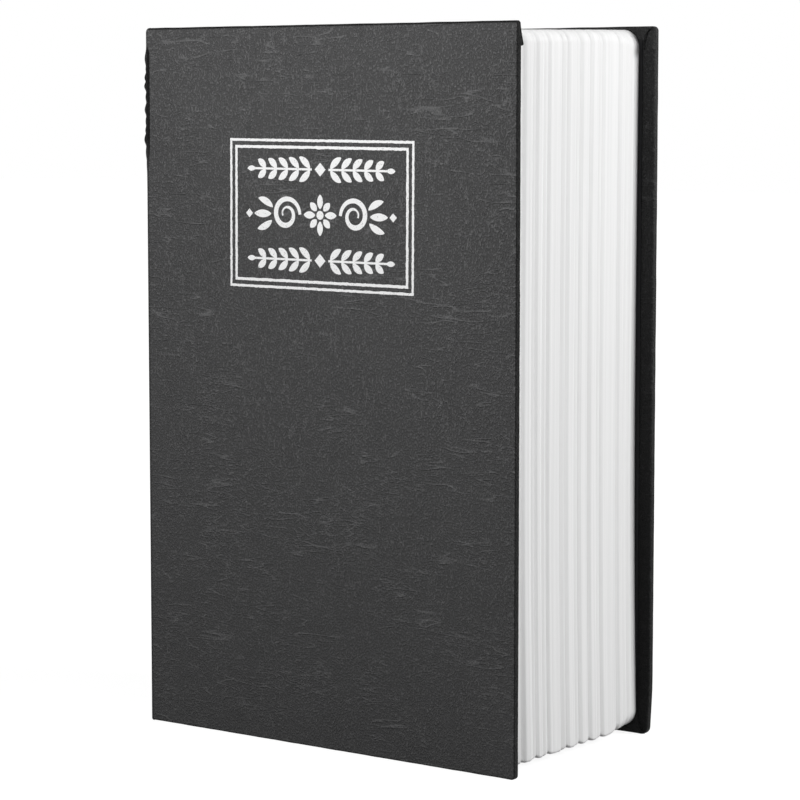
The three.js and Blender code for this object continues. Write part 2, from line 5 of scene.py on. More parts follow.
import random
from collections import Counter
from math import asin, atan2, cos, pi, radians, sin, sqrt

import bmesh
import bpy
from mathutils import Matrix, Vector, noise


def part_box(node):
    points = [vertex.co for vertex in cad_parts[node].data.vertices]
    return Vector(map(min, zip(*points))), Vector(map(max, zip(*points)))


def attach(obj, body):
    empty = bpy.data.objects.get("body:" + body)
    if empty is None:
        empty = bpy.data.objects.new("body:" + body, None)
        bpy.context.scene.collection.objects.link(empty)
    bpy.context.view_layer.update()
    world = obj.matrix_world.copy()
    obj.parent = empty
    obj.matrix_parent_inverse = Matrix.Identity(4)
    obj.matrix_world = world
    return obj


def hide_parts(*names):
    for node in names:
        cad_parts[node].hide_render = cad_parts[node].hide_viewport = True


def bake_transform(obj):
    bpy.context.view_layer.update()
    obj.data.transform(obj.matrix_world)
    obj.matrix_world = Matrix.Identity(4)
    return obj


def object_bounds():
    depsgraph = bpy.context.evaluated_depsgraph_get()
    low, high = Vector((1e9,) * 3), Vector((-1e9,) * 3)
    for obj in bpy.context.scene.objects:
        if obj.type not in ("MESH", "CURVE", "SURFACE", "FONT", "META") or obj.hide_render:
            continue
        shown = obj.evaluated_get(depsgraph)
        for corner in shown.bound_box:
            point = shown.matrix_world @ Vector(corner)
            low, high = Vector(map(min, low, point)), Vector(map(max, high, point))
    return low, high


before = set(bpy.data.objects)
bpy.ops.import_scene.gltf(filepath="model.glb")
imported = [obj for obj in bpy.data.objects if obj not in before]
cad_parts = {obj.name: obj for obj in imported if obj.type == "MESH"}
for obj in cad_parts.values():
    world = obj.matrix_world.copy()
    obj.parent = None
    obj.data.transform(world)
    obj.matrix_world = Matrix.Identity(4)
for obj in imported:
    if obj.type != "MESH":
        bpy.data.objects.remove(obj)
cad_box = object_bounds()

MM = 0.001
QUARTER = pi / 2

# Camera, light and floor

CAMERA_PLACE = Vector((431.97, -584.22, 160.26)) * MM
CAMERA_YAW = radians(36.46)
CAMERA_PITCH = radians(5.90)
CAMERA_LENS = 128.2
SENSOR_WIDTH = 36.0
# Each lamp: its place, its two sizes and the share of plain white that it gives
LAMPS = {
    "side_light": ((0.56, 0.20, 0.345), (0.22, 0.22), 0.84),
    "front_light": ((0.0, -0.24, 0.255), (0.25, 0.08), 0.72),
}
AMBIENT = 0.14
FLOOR_COLOUR = (0.2, 0.2, 0.2)
FLOOR_HALF = 4.0
FLOOR_GAP = 0.05 * MM
# The floor's brightness to the camera near the book, and the distances over which it turns white
FLOOR_LIFT = 0.9
FLOOR_FADE = (0.12, 0.32)

# Tones of the leather cloth: shares of its colour that paint shade into it

LEATHER = (0.101, 0.101, 0.102)
# Painted shade: the darkest shares of the covers' and the joints' cloth, its share on the front cover's
# edges and at the tail of the back cover's inside, at the back cover's head, and on the front cover's
# turn-in
COVER_SHADE_DARKEST = 0.03
JOINT_SHADE_DARKEST = 0.035
EDGE_SHADE_TONE = 0.05
HEAD_SHADE_TONE = 0.3
INSIDE_SHADE_TONE = 0.35

# Case binding

SHEET = 0.3 * MM
SKIN_DEPTH = 0.06 * MM
EDGE_ROUNDING = 0.45 * MM
SPINE_EDGE_ROUNDING = 0.12 * MM
SHARP = 0.02 * MM
# Radii of the covers' corners: spine and tail, fore-edge and tail, fore-edge and head, spine and head
FRONT_CORNERS = (0.5 * MM, 1.0 * MM, 0.45 * MM, 1.2 * MM)
BACK_CORNERS = (SHARP, 1.9 * MM, 1.2 * MM, SHARP)
TURN_IN = 15 * MM
TURN_IN_LIP = 0.08 * MM
EDGE_WOBBLE = 0.06 * MM
OUTLINE_STEP = 2.5 * MM
CARD_MARGIN = SHEET + 0.05 * MM
CARD_ROUNDING = 0.15 * MM
# Points of the fold: distances from the fore-edge and from the end of the cover, in millimetres
FOLD_POINTS = [(0.8, 0.25), (1.4, 0.8), (2.1, 1.5), (2.6, 2.4), (2.85, 3.4), (2.95, 4.5), (2.95, 5.8)]
FOLD_WIDTH = 0.8 * MM
FOLD_HEIGHT = 0.75 * MM
FOLD_SINK = 0.05 * MM
PUCKER_START = 0.4 * MM
PUCKER_LENGTH = 5.3 * MM
PUCKER_HEIGHT = 1.0 * MM
PUCKER_WIDTH = 1.4 * MM
# Shares of the pucker's width and height, round its section
PUCKER_SECTION = [(0.1, -0.3), (0.02, 0.5), (0.06, 0.9), (0.2, 1.0), (0.5, 0.65), (1.0, -0.1)]
# Shares of the pucker's length and height, from the head end to its sharp step
PUCKER_GROWTH = [
    (0, 0.0), (0.15, 0.06), (0.35, 0.18), (0.55, 0.34), (0.75, 0.62), (0.88, 0.86), (0.95, 1.0),
    (1.0, 0.8), (1.03, 0.1)]
# The board of the front cover is pressed thinner at one corner
PRESSED_SHARE = 0.25
PRESSED_WIDTH = 9 * MM
PRESSED_HEIGHT = 4.5 * MM
# The fore-edge of the back cover is worn at its tail
TAIL_WEAR = 0.6 * MM
TAIL_WEAR_HEIGHT = 13 * MM
TAIL_WEAR_WIDTH = 12 * MM

# Joints of the cloth

# Each crumple of the cloth at the head of the front joint: height of its middle, half height, depth
CRUMPLES = [
    (172.2, 1.9, 0.62), (169.6, 1.1, 0.35), (167.4, 1.2, 0.75), (165.2, 1.2, 0.9), (162.4, 1.3, 0.45),
    (159.2, 1.5, 0.8), (156.2, 1.6, 0.5), (153.9, 1.4, 0.62), (151.6, 1.7, 1.0), (148.4, 2.2, 0.5),
    (145.5, 2.0, 0.2)]
CRUMPLES_FROM = 142 * MM
# How far a joint's cloth reaches over the cover, and how much more at the crumples, in millimetres
JOINT_REACH = 0.9
CRUMPLED_REACH = 0.55
# Heights in millimetres between which the second grows, and from its end back to where it is full
REACH_GROWS = (143, 151)
REACH_ENDS = (175.5, 173.5)

# Foil on the front cover

FOIL_THICKNESS = 0.03 * MM
FOIL_GAP = 0.005 * MM
# Figures that cross differ in height by this much
FOIL_LAYER = 0.0004 * MM
FOIL_WOBBLE = 0.12 * MM
FOIL_STEP = 0.45 * MM
FOIL_CORNER = 0.12 * MM
TITLE_MIDDLE = (-0.72 * MM, 133.42 * MM)
TITLE_TILT = radians(-0.3)
# Each line of the frame: half its width and half its height, outside, and the width of the line
TITLE_LINES = [
    (28.65 * MM, 18.57 * MM, 0.64 * MM),
    (27.0 * MM, 16.93 * MM, 0.71 * MM)]
BRANCH_LEVEL = 11.2 * MM
BRANCH_START = 3.2 * MM
BRANCH_PITCH = 3.5 * MM
BRANCH_PAIRS = 5

# Page frame

# Each rib: width, depth of the groove behind it and of its notch at the tail, all in millimetres
RIBS = [
    (7.0, 1.0, 0), (4.1, 0.25, 0), (1.4, 0.9, 1.3), (3.3, 0.4, 0), (2.0, 0.8, 1.2), (2.1, 0.2, 0),
    (4.0, 0.75, 0), (2.3, 0.85, 1.3), (3.8, 0.25, 0), (1.8, 0.9, 1.3), (4.6, 0.9, 1.4), (3.7, 0.25, 0),
    (1.7, 0.9, 1.2), (7.7, 0.85, 1.0), (2.8, 0.2, 0), (1.9, 0.35, 0), (2.3, 0.3, 0), (1.9, 0.1, 0)]
RIB_DEPTH = 1.0 * MM
RIB_FRONT_SLOPE = 1.6 * MM
RIB_BACK_SLOPE = 0.8 * MM
NOTCH_ROUNDING = 2.8 * MM
RIPPLE_PITCH = 1.05 * MM
RIPPLE_DEPTH = 0.035 * MM
PROFILE_STEP = 0.11 * MM
# Each pair: at the front cover and at the back cover
HEAD_CORNERS = (3.2 * MM, 4.6 * MM)
TAIL_CORNERS = (0.8 * MM, 4.6 * MM)
HEAD_LEVELS = (-1.0 * MM, 0.1 * MM)
TAIL_LEVELS = (1.4 * MM, 1.5 * MM)
# The fore-edge stands out at its tail and at its head, over a depth behind the front cover
FORE_EDGE_BOW = (1.2 * MM, 0.3 * MM)
BOW_START = 2 * MM
BOW_RISE = 8 * MM
GROOVE_FADE = 0.35
PAGE_CORNER = 6 * MM
FRAME_WALL = 2 * MM
RIM_THICKNESS = 2 * MM
RIM_CORNER = 2 * MM
RIM_ROUNDING = 0.45 * MM
LIP_THICKNESS = 1.5 * MM
LIP_DEPTH = 8 * MM
TRAY_GAP = 0.3 * MM
WEB_THICKNESS = 2 * MM
WEBS_UP = 4
WEBS_ACROSS = 3
BOSS_RADIUS = 3.5 * MM

# Lock

ROUND_COUNT = 96
BEZEL_THICKNESS = 1.9 * MM
BEZEL_EDGE = (1.3 * MM, 1.0 * MM)
BEZEL_BEVEL = 0.15 * MM
RECESS_MARGIN = 2.8 * MM
RECESS_DEPTH = 1.5 * MM
RECESS_ROUNDING = 0.35 * MM
THREAD_RADIUS = 7 * MM
THREAD_FLAT = 6.1 * MM
THREAD_PITCH = 1.0 * MM
THREAD_DEPTH = 0.28 * MM
THREAD_BEVEL = 0.4 * MM
PLUG_RADIUS = 5 * MM
PLUG_GAP = 0.3 * MM
PLUG_HEAD = 0.9 * MM
PLUG_CROWN = (0.9 * MM, 0.5 * MM)
PLUG_BEVEL = 0.2 * MM
KEYWAY_HALF = (1 * MM, 3.5 * MM)
KEYWAY_DEPTH = 7.5 * MM
TAIL_HALF = 3 * MM
SCREW_HOLE_RADIUS = 1.9 * MM
SCREW_HOLE_DEPTH = 4.5 * MM
NUT_BEVEL = 0.55 * MM
NUT_EDGE = 0.1 * MM
NUT_COUNTERSINK = 0.3 * MM
WASHER_EDGE = 0.12 * MM
WASHER_SPLIT = 0.6 * MM
WASHER_STEPS = 90

# Nodes that only get rounded edges: slot of the finish, body, and width of the rounding in millimetres
SOFTENED = {
    "steel_tray": ("black_steel", "case", 0.25),
    "tray_rim": ("black_steel", "case", 0.22),
    "tray_hinge_leaf": ("black_steel", "case", 0.15),
    "hinge_pin": ("zinc_steel", "case", 0.2),
    **{f"frame_screw_{number}": ("zinc_steel", "case", 0.18) for number in range(1, 5)},
    "steel_lid": ("black_steel", "lid", 0.25),
    "lid_hinge_leaf": ("black_steel", "lid", 0.15),
    "lock_cam": ("zinc_steel", "lock_plug", 0.3),
    "cam_screw": ("zinc_steel", "lock_plug", 0.2),
}
SOFTENED_ANGLE = radians(30)
# Faces of theirs that are larger than this together, in one plane, are shaded flat
FLAT_AREA = 20 * MM * MM

# Measures


def span(node, axis):
    """The lowest and the highest coordinate of a node along one axis (0 is X, 1 is Y, 2 is Z)."""
    low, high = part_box(node)
    return low[axis], high[axis]


def inset(interval, distance):
    return interval[0] + distance, interval[1] - distance


def mixed(ends, share):
    """The value at a share of the way between two ends."""
    return ends[0] + (ends[1] - ends[0]) * share


def smooth(share):
    """Runs smoothly from 0 to 1."""
    share = min(max(share, 0.0), 1.0)
    return share * share * (3 - 2 * share)


def rise(value, low, high):
    """Runs smoothly from 0 at one value to 1 at another."""
    return smooth((value - low) / (high - low))


COVER_THICKNESS = span("front_cover_wrap", 1)[1] - span("front_cover_wrap", 1)[0]
LOCK_LOW, LOCK_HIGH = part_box("lock_housing")
LOCK_X = (LOCK_LOW.x + LOCK_HIGH.x) / 2
LOCK_Z = (LOCK_LOW.z + LOCK_HIGH.z) / 2
BEZEL_RADIUS = (LOCK_HIGH.x - LOCK_LOW.x) / 2

# Shells: each is a list of points and a list of faces


def loft(rings, closed=False):
    """Joins rings of equal length by quads. A closed loft joins the last ring to the first one."""
    size = len(rings[0])
    points = [Vector(point) for ring in rings for point in ring]
    faces = []
    for ring in range(len(rings) if closed else len(rings) - 1):
        here = ring * size
        there = (ring + 1) % len(rings) * size
        for index in range(size):
            after = (index + 1) % size
            faces.append((here + index, here + after, there + after, there + index))
    if not closed:
        faces.append(tuple(range(size)))
        faces.append(tuple(range(len(points) - size, len(points))))
    return points, faces


def block(x, y, z):
    """A box between three intervals."""
    corners = [(x[0], z[0]), (x[1], z[0]), (x[1], z[1]), (x[0], z[1])]
    return loft([[(u, depth, v) for u, v in corners] for depth in y])


def polar(centre, radius, angle):
    """The point at a distance and an angle from a centre."""
    return centre[0] + radius * cos(angle), centre[1] + radius * sin(angle)


def quarter_turn(steps):
    """Pairs of cosine and sine over a quarter of a circle."""
    angles = [QUARTER * step / steps for step in range(steps + 1)]
    return [(cos(angle), sin(angle)) for angle in angles]


def arc(centre, radius, start, steps):
    """A quarter of a circle from a start angle."""
    return [polar(centre, radius, start + QUARTER * step / steps) for step in range(steps + 1)]


def circle(centre, radius, steps):
    return [polar(centre, radius, 2 * pi * step / steps) for step in range(steps)]


def between(first, last, count):
    """Evenly spaced points strictly between two points."""
    shares = [(index + 1) / (count + 1) for index in range(count)]
    return [(first[0] + (last[0] - first[0]) * s, first[1] + (last[1] - first[1]) * s) for s in shares]


def outline(u, v, radii, steps=8, along=(0, 0)):
    """A rectangle with rounded corners, as points round it. radii holds the corner at the low ends
    of U and V, and then the others counter-clockwise; along gives the extra points of its sides in
    U and in V."""
    first, second, third, fourth = radii
    arcs = [
        arc((u[0] + first, v[0] + first), first, 2 * QUARTER, steps),
        arc((u[1] - second, v[0] + second), second, 3 * QUARTER, steps),
        arc((u[1] - third, v[1] - third), third, 0, steps),
        arc((u[0] + fourth, v[1] - fourth), fourth, QUARTER, steps),
    ]
    points = []
    for index, corner in enumerate(arcs):
        following = arcs[(index + 1) % 4]
        points += corner + between(corner[-1], following[0], along[index % 2])
    return points


def piece(name, shells, finish, body, nodes=(), sharp=35):
    """One object made of closed shells, with its material, the body it rides on and the nodes that
    it stands for."""
    points, faces = [], []
    for shell_points, shell_faces in shells:
        start = len(points)
        points += shell_points
        faces += [tuple(start + index for index in face) for face in shell_faces]
    mesh = bpy.data.meshes.new(name)
    mesh.from_pydata(points, [], faces)
    return finished(name, mesh, finish, body, nodes, sharp)


def shade_flat_planes(mesh):
    """Shades flat the faces of a smooth mesh that are large together in one plane."""
    planes = []
    areas = Counter()
    for face in mesh.polygons:
        direction = [round(part, 4) for part in face.normal]
        planes.append((*direction, round(face.center.dot(face.normal) / MM, 2)))
        areas[planes[-1]] += face.area
    for face, plane in zip(mesh.polygons, planes):
        face.use_smooth = areas[plane] < FLAT_AREA


def placed(name, data):
    """A new object in the scene."""
    item = bpy.data.objects.new(name, data)
    bpy.context.scene.collection.objects.link(item)
    return item


def finished(name, mesh, finish, body, nodes=(), sharp=35):
    """Turns a mesh into a piece that rides on its body."""
    shape = bmesh.new()
    shape.from_mesh(mesh)
    bmesh.ops.recalc_face_normals(shape, faces=shape.faces)
    shape.to_mesh(mesh)
    shape.free()
    mesh.shade_smooth()
    mesh.set_sharp_from_angle(angle=radians(sharp))
    mesh.materials.clear()
    mesh.materials.append(finish)
    item = placed(name, mesh)
    if body:
        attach(item, body)
    if nodes:
        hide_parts(*nodes)
    return item


def softened(node, finish, body, width):
    """The shape of a node with its sharp edges rounded off. The normals that are stored with the node
    don't fit the new faces, so they go."""
    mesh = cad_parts[node].data.copy()
    stored = mesh.attributes.get("custom_normal")
    if stored:
        mesh.attributes.remove(stored)
    shape = bmesh.new()
    shape.from_mesh(mesh)
    bmesh.ops.remove_doubles(shape, verts=shape.verts, dist=0.001 * MM)
    bmesh.ops.dissolve_limit(shape, angle_limit=radians(1), verts=shape.verts, edges=shape.edges)
    sharp = [edge for edge in shape.edges if edge.calc_face_angle(0) > SOFTENED_ANGLE]
    bmesh.ops.bevel(
        shape, geom=sharp, offset=width, segments=2, profile=0.5, affect="EDGES", clamp_overlap=True)
    shape.to_mesh(mesh)
    shape.free()
    item = finished(f"{node}_formed", mesh, finish, body, [node])
    shade_flat_planes(item.data)
    return item


# Materials


def fill(node, values):
    """Sets the inputs of a shader node by their names."""
    for name, value in values.items():
        node.inputs[name].default_value = value


class Surface:
    """A material with a few short ways to add procedural detail to its shader."""

    def __init__(self, name, colour, roughness, metallic=0.0, specular=0.5):
        self.material = bpy.data.materials.new(name)
        self.material.use_nodes = True
        self.tree = self.material.node_tree
        self.shader = self.tree.nodes["Principled BSDF"]
        fill(self.shader, {
            "Base Color": (*colour, 1), "Roughness": roughness, "Metallic": metallic,
            "Specular IOR Level": specular})
        self.place = self.node("ShaderNodeTexCoord").outputs["Object"]

    def node(self, kind, **settings):
        made = self.tree.nodes.new(kind)
        for key, value in settings.items():
            setattr(made, key, value)
        return made

    def link(self, source, target):
        self.tree.links.new(source, target)

    def feed(self, sockets, values):
        """Sets each socket to a number, or links it to another socket."""
        for socket, value in zip(sockets, values):
            if isinstance(value, (int, float)):
                socket.default_value = value
            else:
                self.link(value, socket)

    def math(self, operation, *values):
        made = self.node("ShaderNodeMath", operation=operation)
        self.feed(made.inputs, values)
        return made.outputs[0]

    def noise(self, per_mm, detail=2.0, distortion=0.0, offset=0.0):
        """Noise with so many features per millimetre along X, Y and Z."""
        mapping = self.node("ShaderNodeMapping")
        fill(mapping, {"Location": [offset] * 3, "Scale": [value / MM for value in per_mm]})
        self.link(self.place, mapping.inputs["Vector"])
        made = self.node("ShaderNodeTexNoise")
        fill(made, {"Scale": 1.0, "Detail": detail, "Distortion": distortion})
        self.link(mapping.outputs["Vector"], made.inputs["Vector"])
        return made.outputs[0]

    def spread(self, value, low, high, out_low=0.0, out_high=1.0):
        """Maps one range of values to another, smoothly and without leaving it."""
        made = self.node("ShaderNodeMapRange", interpolation_type="SMOOTHSTEP")
        self.link(value, made.inputs["Value"])
        fill(made, {"From Min": low, "From Max": high, "To Min": out_low, "To Max": out_high})
        return made.outputs[0]

    def ridges(self, value, width):
        """Thin ridges along the lines where a noise passes its middle value."""
        off = self.math("ABSOLUTE", self.math("SUBTRACT", value, 0.5))
        return self.spread(off, 0.0, width, 1.0, 0.0)

    def mix(self, factor, first, second):
        """Blends two numbers."""
        made = self.node("ShaderNodeMix", data_type="FLOAT")
        self.feed((made.inputs[0], *made.inputs[2:4]), (factor, first, second))
        return made.outputs[0]

    def colours(self, factor, first, second):
        """Lets the base colour run between two colours."""
        made = self.node("ShaderNodeMix", data_type="RGBA")
        self.link(factor, made.inputs[0])
        made.inputs[6].default_value = (*first, 1)
        made.inputs[7].default_value = (*second, 1)
        self.link(made.outputs[2], self.shader.inputs["Base Color"])

    def roughness(self, factor, low, high):
        self.link(self.spread(factor, 0.3, 0.7, low, high), self.shader.inputs["Roughness"])

    def bump(self, height, depth_mm):
        made = self.node("ShaderNodeBump")
        fill(made, {"Strength": 1.0, "Distance": depth_mm * MM})
        self.link(height, made.inputs["Height"])
        self.link(made.outputs["Normal"], self.shader.inputs["Normal"])


def grain(surface):
    """The embossed grain of the leather cloth: upright wrinkles near the head and level ones near
    the tail, long level creases, and fine beads between them. It is deeper towards the head."""
    z = axes_of(surface)[2]
    upright = surface.ridges(surface.noise((1.15, 1.15, 0.34), 1.8, 0.25, 3.0), 0.07)
    level = surface.ridges(surface.noise((0.37, 0.37, 0.92), 1.8, 0.25, 5.0), 0.07)
    place = surface.noise((0.05, 0.05, 0.08), 3.0, 0.5, 1.0)
    lower = surface.spread(z, 20 * MM, 160 * MM, 0.07, -0.09)
    fields = surface.spread(surface.math("ADD", place, lower), 0.45, 0.6)
    clusters = surface.spread(surface.noise((0.14, 0.14, 0.11), 3.0, 0.6, 9.0), 0.35, 0.65)
    wrinkle_share = surface.math("MULTIPLY_ADD", clusters, 0.6, 0.25)
    wrinkles = surface.math("MULTIPLY", surface.mix(fields, upright, level), wrinkle_share)
    creases = surface.ridges(surface.noise((0.06, 0.06, 0.42), 1.2, 0.3, 7.0), 0.035)
    broken = surface.spread(surface.noise((0.1, 0.1, 0.4), 2.0, 0.0, 11.0), 0.4, 0.53, 0.0, 1.1)
    crease_share = surface.math("MULTIPLY", broken, surface.spread(place, 0.4, 0.55))
    ridges = surface.math("MAXIMUM", wrinkles, surface.math("MULTIPLY", creases, crease_share))
    beads = surface.spread(surface.noise((2.3, 2.3, 1.8), 2.0, 0.2), 0.42, 0.64)
    height = surface.math("MULTIPLY_ADD", beads, 0.85, ridges)
    return surface.math("MULTIPLY", height, surface.spread(z, 10 * MM, 170 * MM, 0.72, 1.05))


def axes_of(surface):
    parts = surface.node("ShaderNodeSeparateXYZ")
    surface.link(surface.place, parts.inputs[0])
    return parts.outputs


def cloth_painted_shade(surface):
    """How light the cloth's colour is, with shade painted into it: 1 on the outer faces of the covers
    and the spine. Elsewhere painted shade darkens it: least at the front cover's turn-in, more on the
    back cover, where it lightens towards the head, and most on the front cover's edges."""
    x, y, z = axes_of(surface)
    to_face = surface.math("SUBTRACT", cad_box[1].y, surface.math("ABSOLUTE", y))
    # The outer faces keep their full colour, and painted shade starts on their edge roundings
    on_cover = surface.spread(to_face, 0.1 * MM, 0.22 * MM, 1.0, 0.0)
    to_spine = surface.math("SUBTRACT", x, cad_box[0].x)
    on_spine = surface.spread(to_spine, 0.15 * MM, 0.3 * MM, 1.0, 0.0)
    # Painted shade on the head and tail edges of the covers and the spine
    to_head = surface.math("SUBTRACT", cad_box[1].z, z)
    off_head = surface.spread(to_head, 0.3 * MM, 0.7 * MM)
    off_tail = surface.spread(z, 0.2 * MM, 0.55 * MM)
    face = surface.math("MAXIMUM", on_cover, on_spine)
    face = surface.math("MULTIPLY", face, surface.math("MULTIPLY", off_head, off_tail))
    inner_edge = cad_box[0].y + COVER_THICKNESS
    # Painted shade on the front cover's edges, darkest just before its inner face
    edges = surface.spread(y, inner_edge - 0.5 * MM, inner_edge - 0.2 * MM, EDGE_SHADE_TONE, 0.0)
    # Painted shade on the front cover's turn-in
    off_inside = surface.math("ABSOLUTE", surface.math("SUBTRACT", y, inner_edge))
    turn_in_shade = surface.spread(off_inside, 0.06 * MM, 0.12 * MM, INSIDE_SHADE_TONE, 0.0)
    # Painted shade on the back cover's edges and inside, with painted light towards the head
    shade_to_head = surface.spread(z, 20 * MM, 178 * MM, EDGE_SHADE_TONE, HEAD_SHADE_TONE)
    behind = surface.math("MULTIPLY", surface.spread(y, -1 * MM, 1 * MM), shade_to_head)
    inner = surface.math("MAXIMUM", turn_in_shade, behind)
    return surface.math("MAXIMUM", face, surface.math("MAXIMUM", edges, inner))


def joint_painted_shade(surface):
    """How light the colour of a joint's cloth is at each height, as painted shade: darkest where it is
    crumpled at the head.
    """
    z = axes_of(surface)[2]
    below = surface.spread(z, 140 * MM, 153 * MM, 0.5, 0.0)
    above = surface.spread(z, 174.2 * MM, 176.6 * MM)
    return surface.math("MAXIMUM", below, above)


def leather_surface(name, shade, darkest):
    """Leather cloth whose tone runs from a darkest share to its full colour, as painted shade."""
    surface = Surface(name, LEATHER, 0.55, specular=0.09)
    height = grain(surface)
    # Painted shade: the colour falls towards its darkest share where the shade function says so
    dark = surface.mix(shade(surface), darkest, 1.0)
    # The grain's ridges are lighter in colour, more so towards the head: partly the cloth's own tone,
    # partly a painted highlight standing in for light on the ridges
    tone = surface.math("MULTIPLY", dark, surface.spread(height, 0.05, 1.55, 0.7, 1.52))
    tinted = surface.node("ShaderNodeVectorMath", operation="SCALE")
    tinted.inputs[0].default_value = LEATHER
    surface.link(tone, tinted.inputs["Scale"])
    surface.link(tinted.outputs[0], surface.shader.inputs["Base Color"])
    surface.roughness(surface.noise((0.3, 0.3, 0.3), 3.0), 0.48, 0.62)
    surface.bump(height, 0.24)
    return surface.material


def foil_surface():
    surface = Surface("white_foil", (0.94, 0.94, 0.94), 0.42)
    height = grain(surface)
    pits = surface.spread(surface.noise((3.2, 3.2, 3.2), 2.0), 0.30, 0.36)
    surface.colours(pits, (0.5, 0.5, 0.51), (0.95, 0.95, 0.95))
    surface.bump(height, 0.02)
    return surface.material


def mottled(name, colour, roughness, tones, pattern, gloss, relief, reach=0.2, **options):
    """A material that noise makes uneven. tones are its darkest and lightest colours, and pattern is the
    noise between them. gloss is a noise with the lowest and highest roughness, and relief a noise with
    its depth in millimetres, where None stands for the pattern's own noise."""
    surface = Surface(name, colour, roughness, **options)
    tone = surface.noise(*pattern)
    surface.colours(surface.spread(tone, 0.5 - reach, 0.5 + reach), *tones)
    if gloss:
        surface.roughness(surface.noise(*gloss[0]) if gloss[0] else tone, *gloss[1:])
    surface.bump(surface.noise(*relief[0]) if relief[0] else tone, relief[1])
    return surface.material


# The cloth of the covers and the spine, with painted shade on its edges and inner faces
leather = leather_surface("leather_cloth", cloth_painted_shade, COVER_SHADE_DARKEST)
# The joints' cloth, with painted shade that is darkest on its crumples at the head
joint_leather_shaded = leather_surface("leather_cloth_joint_shaded", joint_painted_shade, JOINT_SHADE_DARKEST)
foil = foil_surface()
paper = mottled(
    "end_paper_black", (0.009, 0.009, 0.010), 0.75, ((0.009, 0.009, 0.010), (0.014, 0.014, 0.015)),
    pattern=((1.8, 1.8, 0.6), 4.0, 1.0), gloss=(None, 0.68, 0.82), relief=(None, 0.02), specular=0.15)
board = mottled(
    "greyboard_fibre", (0.26, 0.235, 0.2), 0.92, ((0.19, 0.17, 0.145), (0.34, 0.31, 0.27)),
    pattern=((1.2, 1.2, 1.2), 5.0, 1.5), gloss=None, relief=(None, 0.08), reach=0.25, specular=0.2)
plastic = mottled(
    "white_page_plastic", (0.82, 0.82, 0.82), 0.55, ((0.79, 0.79, 0.79), (0.845, 0.845, 0.845)),
    pattern=((0.05, 1.3, 0.01), 3.0), gloss=(((0.5, 0.5, 0.5), 2.0), 0.5, 0.62),
    relief=(None, 0.012), specular=0.2)
steel = mottled(
    "black_powder_coat", (0.012, 0.012, 0.014), 0.42, ((0.010, 0.010, 0.012), (0.016, 0.016, 0.018)),
    pattern=((2.6, 2.6, 2.6), 2.0), gloss=(((0.2, 0.2, 0.2), 3.0), 0.36, 0.5), relief=(None, 0.03))
zinc = mottled(
    "zinc_plate", (0.56, 0.57, 0.59), 0.3, ((0.48, 0.49, 0.52), (0.64, 0.65, 0.66)),
    pattern=((0.6, 0.6, 0.6), 4.0), gloss=(((1.2, 6.0, 1.2), 3.0), 0.24, 0.4),
    relief=(((3.0, 9.0, 3.0), 2.0), 0.004), metallic=1.0)
chrome = mottled(
    "chrome_plate", (0.72, 0.73, 0.74), 0.1, ((0.69, 0.7, 0.71), (0.75, 0.76, 0.77)),
    pattern=((0.35, 0.35, 0.35), 3.0), gloss=(None, 0.07, 0.16),
    relief=(((0.8, 0.8, 0.8), 2.0), 0.002), metallic=1.0)
brass = mottled(
    "stamped_brass", (0.6, 0.4, 0.12), 0.3, ((0.5, 0.33, 0.1), (0.66, 0.46, 0.16)),
    pattern=((1.0, 1.0, 1.0), 4.0), gloss=(None, 0.24, 0.4), relief=(None, 0.004), metallic=1.0)

# Case binding


def wobble(u, v, seed):
    """A small uneven shift of an edge, as hand-pulled cloth has."""
    return noise.noise(Vector((u / MM * 0.22, v / MM * 0.22, seed))) * EDGE_WOBBLE


def edge_profile():
    """Pairs of inset and depth over the rounded edge of a wrapped board, outer face to inner face."""
    turn = [(EDGE_ROUNDING * (1 - c), EDGE_ROUNDING * (1 - s)) for c, s in quarter_turn(4)]
    outer = [(margin, SKIN_DEPTH + depth) for depth, margin in turn]
    inner = [(margin, COVER_THICKNESS - depth) for margin, depth in turn]
    return outer + inner


def wrapped_board(place, u, v, low_turn, high_turn, corners):
    """The cloth round a board: over the outer face and the edges, and turned in on the inner face.
    place turns U, V and a depth below the outer face into a point. low_turn and high_turn are the
    widths that are turned in at the two ends of U, and corners the radii as outline takes them."""
    along = (round((u[1] - u[0]) / OUTLINE_STEP), round((v[1] - v[0]) / OUTLINE_STEP))

    def ring(low, high, side, cut, depth, seed):
        radii = [max(corner - cut, SHARP) for corner in corners]
        points = outline((u[0] + low, u[1] - high), inset(v, side), radii, along=along)
        moved = [(a + wobble(a, b, seed), b + wobble(b, a, seed + 5)) for a, b in points]
        return [place(a, b, depth) for a, b in moved]

    rings = []
    for margin, depth in edge_profile():
        low = margin * SPINE_EDGE_ROUNDING / EDGE_ROUNDING
        rings.append(ring(low, margin, margin, margin, depth, 1))
    lip, inner = TURN_IN_LIP, COVER_THICKNESS
    for back, depth in ((lip, inner), (0, inner - lip), (0, inner - SHEET)):
        rings.append(ring(low_turn - back, high_turn - back, TURN_IN - back, TURN_IN, depth, 2))
    for depth in (inner - SHEET, SKIN_DEPTH + SHEET):
        rings.append(ring(SHEET, SHEET, SHEET, SHEET, depth, 1))
    return loft(rings)


